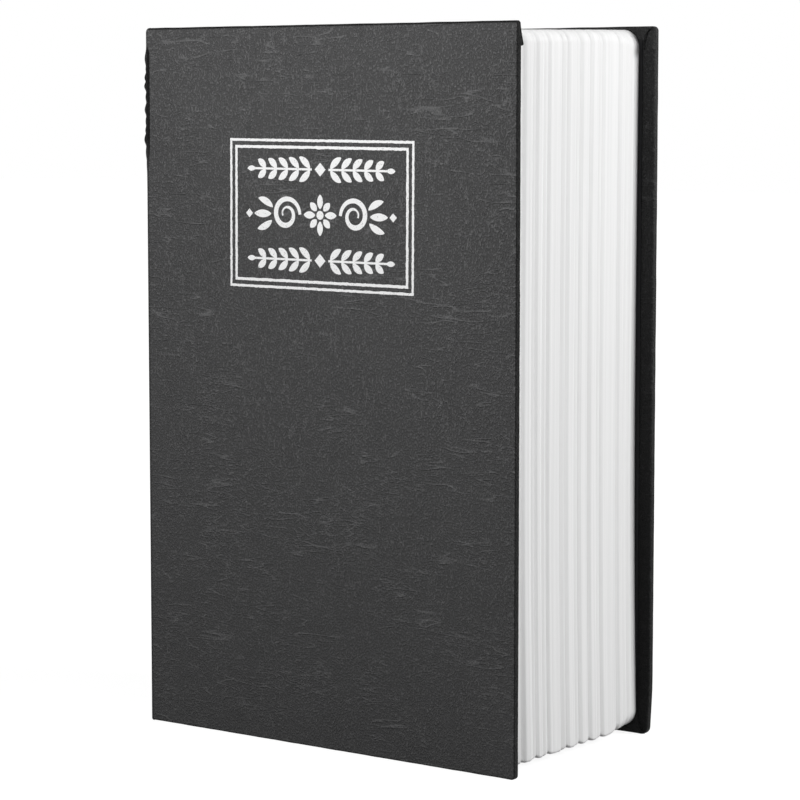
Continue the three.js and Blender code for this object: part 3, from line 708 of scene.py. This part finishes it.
def corner_fold(place, u_corner, v_corner, v_sign):
    """The ridge of the folded cloth at a fore-edge corner, on the inner face of a cover."""
    rings = []
    for index, (across, up) in enumerate(FOLD_POINTS):
        taper = sin(pi * (index + 0.6) / (len(FOLD_POINTS) + 0.2))
        middle = (u_corner - across * MM, v_corner + v_sign * up * MM)
        half = FOLD_WIDTH / 2 * taper
        top = FOLD_HEIGHT * taper
        section = [
            (-half, -FOLD_SINK), (-half, 0.2 * top), (-0.3 * half, top), (half, 0.5 * top),
            (2.2 * half, -FOLD_SINK)]
        rings.append([
            place(middle[0] + 0.7 * side, middle[1] - v_sign * 0.7 * side, COVER_THICKNESS + height)
            for side, height in section])
    return loft(rings)


def pucker(place, u_edge, v_corner):
    """The flap of cloth that stands up along the fore-edge below a head corner, on the inner face:
    it grows downwards and ends in a sharp step."""
    rings = []
    for share, size in PUCKER_GROWTH:
        v = v_corner - PUCKER_START - PUCKER_LENGTH * share
        rings.append([
            place(u_edge - across * PUCKER_WIDTH, v, COVER_THICKNESS + up * PUCKER_HEIGHT * size)
            for across, up in PUCKER_SECTION])
    return loft(rings)


def rounded(distance, reach, depth):
    """The drop towards an edge at a distance from it, as of a rounded lobe."""
    share = 1 - min(distance / reach, 1.0)
    return depth * (1 - sqrt(1 - share * share))


def front_cover_place(u, v, depth):
    """The front cover, whose board is pressed thinner at the head corner of its fore-edge."""
    near_edge = smooth(1 - (cad_box[1].x - u) / PRESSED_WIDTH)
    near_head = smooth(1 - (cad_box[1].z - v) / PRESSED_HEIGHT)
    return Vector((u, cad_box[0].y + depth * (1 - PRESSED_SHARE * near_edge * near_head), v))


def back_cover_place(u, v, depth):
    """The back cover, whose fore-edge is worn inwards near its tail corner."""
    near_edge = smooth(1 - (cad_box[1].x - u) / TAIL_WEAR_WIDTH)
    near_tail = smooth(1 - v / TAIL_WEAR_HEIGHT)
    return Vector((u - TAIL_WEAR * near_edge * near_tail, cad_box[1].y - depth, v))


def spine_place(u, v, depth):
    return Vector((cad_box[0].x + depth, u, v))


# Each cover: its name, the shape of its faces, its body and its corners
COVERS = [
    ("front_cover", front_cover_place, "front_cover", FRONT_CORNERS),
    ("back_cover", back_cover_place, "case", BACK_CORNERS)]


def cover_leather(cover, place, body, corners):
    node = f"{cover}_wrap"
    u, v = span(node, 0), span(node, 2)
    shells = [
        wrapped_board(place, u, v, SHEET, TURN_IN, corners),
        corner_fold(place, u[1], v[1], -1),
        corner_fold(place, u[1], v[0], 1),
        pucker(place, u[1], v[1]),
    ]
    piece(f"{cover}_cloth", shells, leather, body, [node])


def cover_card(cover, place, body, corners):
    """The greyboard inside a cover's cloth."""
    u = inset(span(f"{cover}_wrap", 0), CARD_MARGIN)
    v = inset(span(f"{cover}_wrap", 2), CARD_MARGIN)
    along = (4, round((v[1] - v[0]) / OUTLINE_STEP))
    outer = SKIN_DEPTH + CARD_MARGIN
    inner = COVER_THICKNESS - CARD_MARGIN
    soft = CARD_ROUNDING
    rings = []
    for level, side in ((outer, soft), (outer + soft, 0), (inner - soft, 0), (inner, soft)):
        radii = [max(corner - CARD_MARGIN - side, SHARP) for corner in corners]
        points = outline(inset(u, side), inset(v, side), radii, along=along)
        rings.append([place(a, b, level) for a, b in points])
    piece(f"{cover}_card", [loft(rings)], board, body, [f"{cover}_board"])


def spine_leather():
    u = inset((cad_box[0].y, cad_box[1].y), COVER_THICKNESS + SHEET)
    v = span("spine_wrap", 2)
    shell = wrapped_board(spine_place, u, v, SHEET, SHEET, [SHARP] * 4)
    piece("spine_cloth", [shell], leather, "case", ["spine_wrap"])
    card = block(
        inset((cad_box[0].x, cad_box[0].x + COVER_THICKNESS), CARD_MARGIN + SKIN_DEPTH),
        inset(u, CARD_MARGIN), inset(v, CARD_MARGIN))
    piece("spine_card", [card], board, "case", ["spine_board"])


def crumple(z):
    """How far the cloth of the front joint bulges out at a height."""
    bulge = 0.0
    for middle, half, depth in CRUMPLES:
        off = abs(z / MM - middle) / half
        bulge = max(bulge, depth * MM * smooth(1 - off / 1.6))
    return bulge


def joint_heights(fine_from, v):
    """Heights of the rings of a joint: close together above fine_from, wide apart below it."""
    heights = [v[0] + step * MM for step in (0, 0.03, 0.1, 0.2, 0.35, 0.5)]
    while heights[-1] < fine_from:
        heights.append(heights[-1] + OUTLINE_STEP)
    while heights[-1] < v[1] - 1.3 * MM:
        heights.append(heights[-1] + 0.35 * MM)
    return heights + [v[1] - step * MM for step in (0.8, 0.6, 0.4, 0.22, 0.1, 0.03, 0)]


def joint_section(bulge, side, reach):
    """The cloth over one corner of the spine, from the spine's face round to the cover's face, as
    distances in millimetres from the corner along X and Y. It is 0.3 mm thick and feathered out on
    both faces, and reaches that far over the cover."""
    out = bulge / MM
    section = [(0.05, 2.9), (0.03 - 0.5 * out, 2.1), (0.02 - 0.9 * out, 1.3), (0.04 - out, 0.75)]
    for c, s in quarter_turn(6)[1:-1]:
        section.append((0.06 + 0.52 * (1 - c) - out * c ** 2, 0.05 + 0.52 * (1 - s)))
    section += [(0.6, 0.05), (reach - 0.2, 0.03), (reach, 0.045), (reach, 0.055), (0.36, 0.075)]
    section += [(0.31 - 0.5 * out, 0.35), (0.31 - 0.9 * out, 1.3), (0.31 - 0.5 * out, 2.1), (0.065, 2.9)]
    corner_y = cad_box[0].y if side < 0 else cad_box[1].y
    return [(cad_box[0].x + x * MM, corner_y - side * y * MM) for x, y in section]


def joint_cloth(name, side):
    """The strip of cloth round one corner of the spine: side is -1 at the front cover, where it is
    crumpled and rounded at its ends, and 1 at the back cover, where it is plain."""
    v = (cad_box[0].z, cad_box[1].z)
    front = side < 0
    rings = []
    for z in joint_heights(CRUMPLES_FROM if front else v[1] - 2 * OUTLINE_STEP, v):
        bulge, reach, corner = 0.0, JOINT_REACH, 0.0
        if front:
            bulge = crumple(z)
            reach += CRUMPLED_REACH * rise(z / MM, *REACH_GROWS) * rise(z / MM, *REACH_ENDS)
            corner += rounded(z - v[0], FRONT_CORNERS[0], FRONT_CORNERS[0])
            corner += rounded(v[1] - z, FRONT_CORNERS[3], FRONT_CORNERS[3])
        shift = noise.noise(Vector((z / MM * 0.9, side, 0))) * 0.2 * bulge
        rings.append([(x + corner, y, z + shift) for x, y in joint_section(bulge, side, reach)])
    body = None if front else "case"
    return piece(name, [loft(rings)], joint_leather_shaded, body, sharp=50)


def joints():
    front = joint_cloth("front_joint_cloth", -1)
    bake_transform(front)
    joint_cloth("back_joint_cloth", 1)


# Foil on the front cover


def foil_place(across, up, height):
    """A point of the foil from its distances to the middle of the title, slightly askew."""
    x = TITLE_MIDDLE[0] + across * cos(TITLE_TILT) - up * sin(TITLE_TILT)
    z = TITLE_MIDDLE[1] + across * sin(TITLE_TILT) + up * cos(TITLE_TILT)
    return Vector((x, cad_box[0].y + SKIN_DEPTH + FOIL_GAP - height, z))


def ragged(a, b, seed):
    """The first of two coordinates with a small uneven shift."""
    return a + noise.noise(Vector((a / MM, b / MM, seed)) * 1.3) * FOIL_WOBBLE


def foil_frame(half_width, half_height, width):
    """A rectangular foil line whose edges are slightly ragged."""
    u, v = (-half_width, half_width), (-half_height, half_height)
    along = (round(2 * half_width / FOIL_STEP), round(2 * half_height / FOIL_STEP))

    def ring(margin, height, seed):
        points = outline(inset(u, margin), inset(v, margin), [FOIL_CORNER] * 4, 2, along)
        return [foil_place(ragged(a, b, seed), ragged(b, a, seed + 3), height) for a, b in points]

    top = FOIL_THICKNESS
    return loft([ring(0, top, 1), ring(width, top, 2), ring(width, 0, 2), ring(0, 0, 1)], closed=True)


def foil_shape(points, level):
    """A flat foil figure with the given outline in X and Z. level keeps figures that cross apart."""
    top = FOIL_THICKNESS + level * FOIL_LAYER
    return loft([[foil_place(x, z, height) for x, z in points] for height in (top, 0)])


def stroke(middle, width_at):
    """The outline of a line of changing width; middle lists its points, width_at maps 0 to 1."""
    left, right = [], []
    last = len(middle) - 1
    for index, (x, z) in enumerate(middle):
        before, after = middle[max(index - 1, 0)], middle[min(index + 1, last)]
        direction = atan2(after[1] - before[1], after[0] - before[0])
        half = width_at(index / last) / 2
        left.append((x - half * sin(direction), z + half * cos(direction)))
        right.append((x + half * sin(direction), z - half * cos(direction)))
    return left + right[::-1]


def swelling(width):
    """A width that is nothing at both ends of a stroke and full in its middle."""
    return lambda share: width * sin(pi * share) ** 0.7 + 0.04 * MM


def leaf(start, direction, length, width, bend=0.0, steps=16):
    """A pointed leaf that leaves a point in a direction and bends to one side."""
    middle = [start]
    for step in range(steps):
        angle = direction + bend * (step + 0.5) / steps
        middle.append(polar(middle[-1], length / steps, angle))
    return stroke(middle, swelling(width))


def scroll(centre, radius, start, turns, width, steps=60):
    """A stroke that runs round a centre and winds in towards it."""
    middle = []
    for step in range(steps + 1):
        share = step / steps
        angle = start + turns * 2 * pi * share
        middle.append(polar(centre, radius * (1 - 0.74 * share), angle))
    return stroke(middle, lambda share: width * (0.35 + 0.65 * sin(pi * min(1, share + 0.15))))


def lozenge(centre, half):
    x, z = centre
    return [(x - half, z), (x, z - half), (x + half, z), (x, z + half)]


def leafy_branch(level):
    """The right half of a branch: a stem with pairs of leaves and a bud at its end."""
    end = BRANCH_START + BRANCH_PAIRS * BRANCH_PITCH
    shapes = [stroke([(BRANCH_START - 0.6 * MM, level), (end, level)], lambda share: 0.55 * MM)]
    for index in range(BRANCH_PAIRS):
        length = (4.4 - 0.3 * index) * MM
        for side in (-1, 1):
            base = (BRANCH_START + index * BRANCH_PITCH, level + side * 0.2 * MM)
            shapes.append(leaf(base, side * 0.95, length, 1.7 * MM, -side * 0.5))
    shapes.append(leaf((end - 0.3 * MM, level), 0, 2.6 * MM, 1.3 * MM))
    return shapes


def ornament():
    """A plain symmetrical ornament: a flower between scrolls, with a leafy branch over and under it."""
    shapes = [circle((0, 0), 1.1 * MM, 20)]
    for eighth in range(8):
        angle = eighth * QUARTER / 2
        length = (3.6 if eighth % 2 == 0 else 2.8) * MM
        shapes.append(leaf(polar((0, 0), 1.5 * MM, angle), angle, length, 1.75 * MM))
    right = [
        scroll((10.6 * MM, 0), 4.3 * MM, pi, -1.55, 1.35 * MM),
        leaf((14.9 * MM, 1.6 * MM), 0.75, 5.2 * MM, 1.7 * MM, -0.6),
        leaf((15.2 * MM, -1.6 * MM), -0.75, 5.2 * MM, 1.7 * MM, 0.6),
        leaf((15.4 * MM, 0), 0, 5.4 * MM, 1.9 * MM),
        lozenge((22.4 * MM, 0), 1.1 * MM),
    ]
    for level in (-BRANCH_LEVEL, BRANCH_LEVEL):
        shapes.append(lozenge((0, level), 1.7 * MM))
        right += leafy_branch(level)
    shapes += right + [[(-x, z) for x, z in shape] for shape in right]
    return [foil_shape(shape, level) for level, shape in enumerate(shapes)]


def title_foil():
    shells = [foil_frame(*line) for line in TITLE_LINES]
    piece("title_frame_foil", shells, foil, "front_cover", sharp=60)
    piece("title_ornament_foil", ornament(), foil, "front_cover", sharp=60)


# Page frame


def sloped(distance, reach, depth):
    """The drop towards a groove at a distance from it: straight at the groove and soft at the top."""
    return depth * (1 - min(distance / reach, 1.0)) ** 1.35


def rib_bounds():
    """The Y values of the grooves, with the depths of groove and notch, from the front."""
    y = span("page_frame", 1)
    scale = (y[1] - y[0]) / sum(rib[0] for rib in RIBS)
    bounds = [(y[0], RIB_DEPTH, 0)]
    for width, depth, notch in RIBS:
        bounds.append((bounds[-1][0] + width * scale, depth * MM, notch * MM))
    return bounds


def page_profile():
    """Y, depth below the crests and lift of the tail, over the whole thickness of the frame."""
    draw = random.Random(4)
    profile = []
    bounds = rib_bounds()
    for (low, low_depth, _), (high, high_depth, _) in zip(bounds, bounds[1:]):
        width = high - low
        squeeze = min(1.0, width / (RIB_FRONT_SLOPE + RIB_BACK_SLOPE))
        level = draw.uniform(0.0, 0.05) * MM
        phase = draw.uniform(0, pi)
        count = max(4, round(width / PROFILE_STEP))
        for index in range(count):
            distance = width * index / count
            drop = max(
                sloped(distance, RIB_FRONT_SLOPE * squeeze, low_depth),
                sloped(width - distance, RIB_BACK_SLOPE * squeeze, high_depth))
            ripple = RIPPLE_DEPTH * abs(sin(pi * distance / RIPPLE_PITCH + phase))
            at = low + distance
            lift = max(rounded(abs(at - groove), NOTCH_ROUNDING, notch) for groove, _, notch in bounds)
            profile.append((at, min(max(drop, level + ripple), RIB_DEPTH), lift))
    profile.append((bounds[-1][0], bounds[-1][1], 0))
    return profile


def page_frame_shell():
    """One closed surface: ribbed outside, front rim, opening, lip and inner walls."""
    x, y, z = (span("page_frame", axis) for axis in range(3))
    opening_x = inset(span("steel_tray", 0), -TRAY_GAP)
    opening_z = inset(span("steel_tray", 2), -TRAY_GAP)

    def ring(u, v, radii, at):
        return [(a, at, b) for a, b in outline(u, v, radii, steps=12, along=(0, 10))]

    def bowed(point, depth):
        """Moves a point of the outside: behind the shade of the front cover the fore-edge stands
        out at its tail and its head, and its grooves are shallower towards the head."""
        share = (point[2] - z[0]) / (z[1] - z[0])
        ends = 2 * share - 1
        out = FORE_EDGE_BOW[0 if ends < 0 else 1] * ends * ends + GROOVE_FADE * share * depth
        out *= smooth((point[1] - y[0] - BOW_START) / BOW_RISE)
        return (point[0] + out * (point[0] - x[0]) / (x[1] - x[0]), *point[1:])

    def outside(depth, lift, at):
        """The corners are rounder towards the back cover, and the whole block leans a little."""
        share = (at - y[0]) / (y[1] - y[0])
        late = smooth((share - 0.75) / 0.25)
        tail = mixed(TAIL_CORNERS, late)
        head = mixed(HEAD_CORNERS, late)
        bottom = z[0] + mixed(TAIL_LEVELS, share) + max(lift, 0.3 * depth)
        top = z[1] + mixed(HEAD_LEVELS, share) - 0.35 * depth
        points = ring((x[0], x[1] - depth), (bottom, top), (SHARP, tail, head, SHARP), at)
        return [bowed(point, depth) for point in points]

    def opening(margin, at):
        return ring(inset(opening_x, margin), inset(opening_z, margin), [RIM_CORNER] * 4, at)

    def hollow(at):
        wall = FRAME_WALL + RIB_DEPTH
        radii = (SHARP, PAGE_CORNER - wall, PAGE_CORNER - wall, SHARP)
        return ring((x[0] + FRAME_WALL, x[1] - wall), inset(z, wall), radii, at)

    profile = [point for point in page_profile() if point[0] > y[0] + 0.5 * MM]
    rounding = RIM_ROUNDING
    rings = [
        outside(RIB_DEPTH + rounding * 0.7, 0, y[0]),
        outside(RIB_DEPTH * 0.6 + rounding * 0.25, 0, y[0] + 0.12 * MM)]
    rings += [outside(depth, lift, at) for at, depth, lift in profile]
    rings += [hollow(y[1]), hollow(y[0] + RIM_THICKNESS)]
    lip = -LIP_THICKNESS
    rings += [opening(lip, y[0] + RIM_THICKNESS), opening(lip, y[0] + LIP_DEPTH)]
    rings += [opening(0, y[0] + LIP_DEPTH)]
    rings += [opening(rounding * (c - 1), y[0] + rounding * (1 - s)) for c, s in quarter_turn(4)]
    return loft(rings, closed=True)


def webs(interval, count):
    """The thicknesses of webs that divide an interval evenly."""
    pitch = (interval[1] - interval[0]) / count
    middles = [interval[0] + (index + 0.5) * pitch for index in range(count)]
    return [(middle - WEB_THICKNESS / 2, middle + WEB_THICKNESS / 2) for middle in middles]


def frame_supports():
    """The webs between the page frame's walls and the tray, and the bosses of the screws."""
    x, y, z = (span("page_frame", axis) for axis in range(3))
    tray_x, tray_z = span("steel_tray", 0), span("steel_tray", 2)
    depth = (y[0] + LIP_DEPTH, y[1])
    wall = FRAME_WALL / 2
    below = (z[0] + RIB_DEPTH + wall, tray_z[0] - TRAY_GAP)
    above = (tray_z[1] + TRAY_GAP, z[1] - RIB_DEPTH - wall)
    shells = []
    for thick in webs(z, WEBS_UP):
        shells.append(block((tray_x[1] + TRAY_GAP, x[1] - RIB_DEPTH - wall), depth, thick))
        shells.append(block((x[0] + wall, tray_x[0] - TRAY_GAP), depth, thick))
    for thick in webs(tray_x, WEBS_ACROSS):
        shells += [block(thick, depth, below), block(thick, depth, above)]
    for number in range(1, 5):
        low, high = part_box(f"frame_screw_{number}")
        boss = circle(((low.x + high.x) / 2, (low.y + high.y) / 2), BOSS_RADIUS, 32)
        between_walls = below if low.z < (z[0] + z[1]) / 2 else above
        shells.append(loft([[(a, b, height) for a, b in boss] for height in between_walls]))
    return shells


def page_frame():
    piece(
        "page_frame_ribbed", [page_frame_shell(), *frame_supports()], plastic, "case",
        ["page_frame"], sharp=28)


# Lock


def lock_point(y, radius, angle):
    return LOCK_X + radius * cos(angle), y, LOCK_Z + radius * sin(angle)


def round_ring(y, radius_at):
    """A ring round the lock's axis; radius_at gives the radius at an angle, or is the radius."""
    angles = [2 * pi * index / ROUND_COUNT for index in range(ROUND_COUNT)]
    return [lock_point(y, radius_at(a) if callable(radius_at) else radius_at, a) for a in angles]


def turned(name, profile, finish, body, node, closed=False, sharp=32):
    """A piece round the lock's axis, from pairs of Y and radius."""
    rings = [round_ring(y, radius) for y, radius in profile]
    piece(name, [loft(rings, closed)], finish, body, [node], sharp)


def with_flats(radius, flat):
    """The radius of a circle that is cut flat at both sides in X."""
    return lambda angle: min(radius, flat / max(abs(cos(angle)), 0.001))


def slot_radius(half_width, half_height):
    """The radius of a rectangle round its middle."""
    return lambda angle: min(
        half_width / max(abs(cos(angle)), 1e-6), half_height / max(abs(sin(angle)), 1e-6))


def hexagon(corner, limit):
    """The radius of a hexagon with a corner towards +Z, no larger than a limit."""
    def radius(angle):
        off_flat = (angle - QUARTER + pi / 6) % (pi / 3) - pi / 6
        return min(limit, corner * cos(pi / 6) / cos(off_flat))
    return radius


def quarter_round(y_from, y_to, radius_from, radius_to):
    """Pairs of Y and radius over a rounded edge, from one Y and radius to another."""
    high, wide = y_to - y_from, radius_from - radius_to
    return [(y_from + high * s, radius_to + wide * c) for c, s in quarter_turn(5)]


def lock_housing():
    """The chromed body: a rounded bezel, a threaded barrel with two flats, and the bore."""
    front, back = LOCK_LOW.y, LOCK_HIGH.y
    bezel_back = front + BEZEL_THICKNESS
    recess_back = front + RECESS_DEPTH
    bore = PLUG_RADIUS + PLUG_GAP
    recess = BEZEL_RADIUS - RECESS_MARGIN
    crest = with_flats(THREAD_RADIUS, THREAD_FLAT)
    root = with_flats(THREAD_RADIUS - THREAD_DEPTH, THREAD_FLAT)
    profile = [(back, bore), (back, with_flats(THREAD_RADIUS - THREAD_BEVEL, THREAD_FLAT))]
    y = back - THREAD_BEVEL
    while y > bezel_back + THREAD_PITCH:
        profile += [(y, crest), (y - 0.15 * THREAD_PITCH, crest)]
        profile += [(y - 0.5 * THREAD_PITCH, root), (y - 0.65 * THREAD_PITCH, root)]
        y -= THREAD_PITCH
    profile.append((bezel_back, root))
    profile += [(bezel_back, BEZEL_RADIUS - BEZEL_BEVEL), (bezel_back - BEZEL_BEVEL, BEZEL_RADIUS)]
    profile += quarter_round(front + BEZEL_EDGE[1], front, BEZEL_RADIUS, BEZEL_RADIUS - BEZEL_EDGE[0])
    profile += quarter_round(front, front + RECESS_ROUNDING, recess + RECESS_ROUNDING, recess)
    profile += [(recess_back, recess), (recess_back, bore)]
    turned("lock_housing_turned", profile, chrome, "lid", "lock_housing", closed=True)


def lock_plug():
    """The plug: a keyway in a slightly crowned head, a round barrel and a square tail."""
    low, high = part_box("lock_plug")
    front, back = low.y, high.y
    head = (high.x - low.x) / 2
    barrel_back = LOCK_HIGH.y
    keyway = slot_radius(*KEYWAY_HALF)
    wide_keyway = slot_radius(KEYWAY_HALF[0] + PLUG_BEVEL, KEYWAY_HALF[1] + PLUG_BEVEL)
    square = slot_radius(TAIL_HALF, TAIL_HALF)
    small_square = slot_radius(TAIL_HALF - PLUG_BEVEL, TAIL_HALF - PLUG_BEVEL)
    profile = [(front + KEYWAY_DEPTH, keyway)]
    profile += [(front + 0.25 * MM, keyway), (front + 0.05 * MM, wide_keyway)]
    profile += quarter_round(front, front + PLUG_CROWN[1], head - PLUG_CROWN[0], head)
    profile += [(front + PLUG_HEAD, head), (front + PLUG_HEAD, PLUG_RADIUS)]
    profile += [(barrel_back - PLUG_BEVEL, PLUG_RADIUS), (barrel_back, PLUG_RADIUS - PLUG_BEVEL)]
    profile += [(barrel_back, square), (back - PLUG_BEVEL, square), (back, small_square)]
    profile += [(back, SCREW_HOLE_RADIUS), (back - SCREW_HOLE_DEPTH, SCREW_HOLE_RADIUS)]
    turned("lock_plug_turned", profile, chrome, "lock_plug", "lock_plug")


def lock_nut():
    low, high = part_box("lock_nut")
    corner = (high.z - low.z) / 2
    hole = THREAD_RADIUS + PLUG_GAP
    wide_hole = hole + NUT_COUNTERSINK
    face = hexagon(corner, corner * cos(pi / 6) - NUT_EDGE)
    side = hexagon(corner, corner - NUT_EDGE)
    profile = [
        (low.y + NUT_COUNTERSINK, hole), (low.y, wide_hole), (low.y, face), (low.y + NUT_BEVEL, side),
        (high.y - NUT_BEVEL, side), (high.y, face), (high.y, wide_hole),
        (high.y - NUT_COUNTERSINK, hole)]
    turned("lock_nut_formed", profile, zinc, "lid", "lock_nut", closed=True, sharp=25)


def lock_washer():
    """A split ring of square wire, open towards +Z."""
    low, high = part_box("lock_washer")
    outer = (high.x - low.x) / 2
    inner = THREAD_RADIUS + PLUG_GAP
    gap = asin(WASHER_SPLIT / outer)
    soft = WASHER_EDGE
    section = [
        (inner, low.y + soft), (inner + soft, low.y), (outer - soft, low.y), (outer, low.y + soft),
        (outer, high.y - soft), (outer - soft, high.y), (inner + soft, high.y), (inner, high.y - soft)]
    rings = []
    for index in range(WASHER_STEPS + 1):
        angle = QUARTER + gap + (2 * pi - 2 * gap) * index / WASHER_STEPS
        rings.append([lock_point(y, radius, angle) for radius, y in section])
    piece("lock_washer_formed", [loft(rings)], zinc, "lid", ["lock_washer"])


def cam_washer():
    low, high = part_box("cam_washer")
    outer = (high.x - low.x) / 2
    inner = SCREW_HOLE_RADIUS
    soft = WASHER_EDGE
    profile = [
        (low.y + soft, outer), (low.y, outer - soft), (low.y, inner), (high.y, inner),
        (high.y, outer - soft), (high.y - soft, outer)]
    turned(
        "cam_washer_formed", profile, zinc, "lock_plug", "cam_washer", closed=True,
        sharp=35)


# Pieces that keep the shape of their nodes


def steel_pieces():
    finishes = {"black_steel": steel, "zinc_steel": zinc}
    for node, (slot, body, width) in SOFTENED.items():
        softened(node, finishes[slot], body, width * MM)


def finish_nodes():
    """Gives the nodes that stay as they are their materials."""
    finishes = {"front_pastedown": paper, "back_pastedown": paper}
    for number in range(1, 5):
        finishes[f"wafer_{number}"] = brass
        finishes[f"wafer_spring_{number}"] = zinc
    for node, finish in finishes.items():
        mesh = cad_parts[node].data
        mesh.materials.clear()
        mesh.materials.append(finish)


# Stage, light and camera


def seen_rays(tree):
    """1 where a ray comes from the camera, a mirror or glass, and 0 where it carries light."""
    rays = tree.nodes.new("ShaderNodeLightPath")
    total = rays.outputs["Is Camera Ray"]
    for name in ("Is Glossy Ray", "Is Transmission Ray"):
        add = tree.nodes.new("ShaderNodeMath")
        add.operation = "MAXIMUM"
        tree.links.new(total, add.inputs[0])
        tree.links.new(rays.outputs[name], add.inputs[1])
        total = add.outputs[0]
    return total


def floor():
    """A pale floor that the camera sees as white away from the shadow of the book."""
    mesh = bpy.data.meshes.new("floor")
    half = FLOOR_HALF
    corners = [(-half, -half, 0), (half, -half, 0), (half, half, 0), (-half, half, 0)]
    mesh.from_pydata(corners, [], [(0, 1, 2, 3)])
    surface = Surface("pale_floor", FLOOR_COLOUR, 0.9, specular=0.1)
    distance = surface.node("ShaderNodeVectorMath", operation="LENGTH")
    surface.link(surface.place, distance.inputs[0])
    lift = surface.spread(distance.outputs["Value"], *FLOOR_FADE, FLOOR_LIFT, 1.0)
    glow = surface.math("MULTIPLY", seen_rays(surface.tree), lift)
    fill(surface.shader, {"Emission Color": (1, 1, 1, 1)})
    surface.link(glow, surface.shader.inputs["Emission Strength"])
    mesh.materials.append(surface.material)
    item = placed("floor", mesh)
    item.location.z = cad_box[0].z - FLOOR_GAP


def studio_world():
    world = bpy.data.worlds.new("studio")
    bpy.context.scene.world = world
    world.use_nodes = True
    tree = world.node_tree
    background = tree.nodes["Background"]
    fill(background, {"Color": (1, 1, 1, 1)})
    strength = tree.nodes.new("ShaderNodeMapRange")
    tree.links.new(seen_rays(tree), strength.inputs["Value"])
    fill(strength, {"To Min": AMBIENT, "To Max": 1.0})
    tree.links.new(strength.outputs[0], background.inputs["Strength"])


def soft_light(name, target, place, size, level):
    """A lamp that lights its target at a share of the plain level, 1 being white."""
    data = bpy.data.lights.new(name, "AREA")
    data.shape = "RECTANGLE"
    data.size, data.size_y = size
    away = Vector(place) - Vector(target)
    data.energy = level * pi ** 2 * away.length_squared
    lamp = placed(name, data)
    lamp.visible_camera = False
    lamp.location = place
    lamp.rotation_euler = away.to_track_quat("Z", "Y").to_euler()


def studio():
    studio_world()
    floor()
    middle = (cad_box[0] + cad_box[1]) / 2
    for name, lamp in LAMPS.items():
        soft_light(name, middle, *lamp)
    bpy.context.scene.view_settings.view_transform = "Standard"


def camera():
    data = bpy.data.cameras.new("camera")
    data.lens = CAMERA_LENS
    data.sensor_width = SENSOR_WIDTH
    data.clip_start = 0.01
    data.clip_end = 50
    item = placed("camera", data)
    item.location = CAMERA_PLACE
    item.rotation_euler = (QUARTER - CAMERA_PITCH, 0, CAMERA_YAW)
    bpy.context.scene.camera = item


camera()
studio()
for cover in COVERS:
    cover_leather(*cover)
for cover in COVERS:
    cover_card(*cover)
spine_leather()
joints()
title_foil()
page_frame()
lock_housing()
lock_plug()
lock_nut()
lock_washer()
cam_washer()
steel_pieces()
finish_nodes()
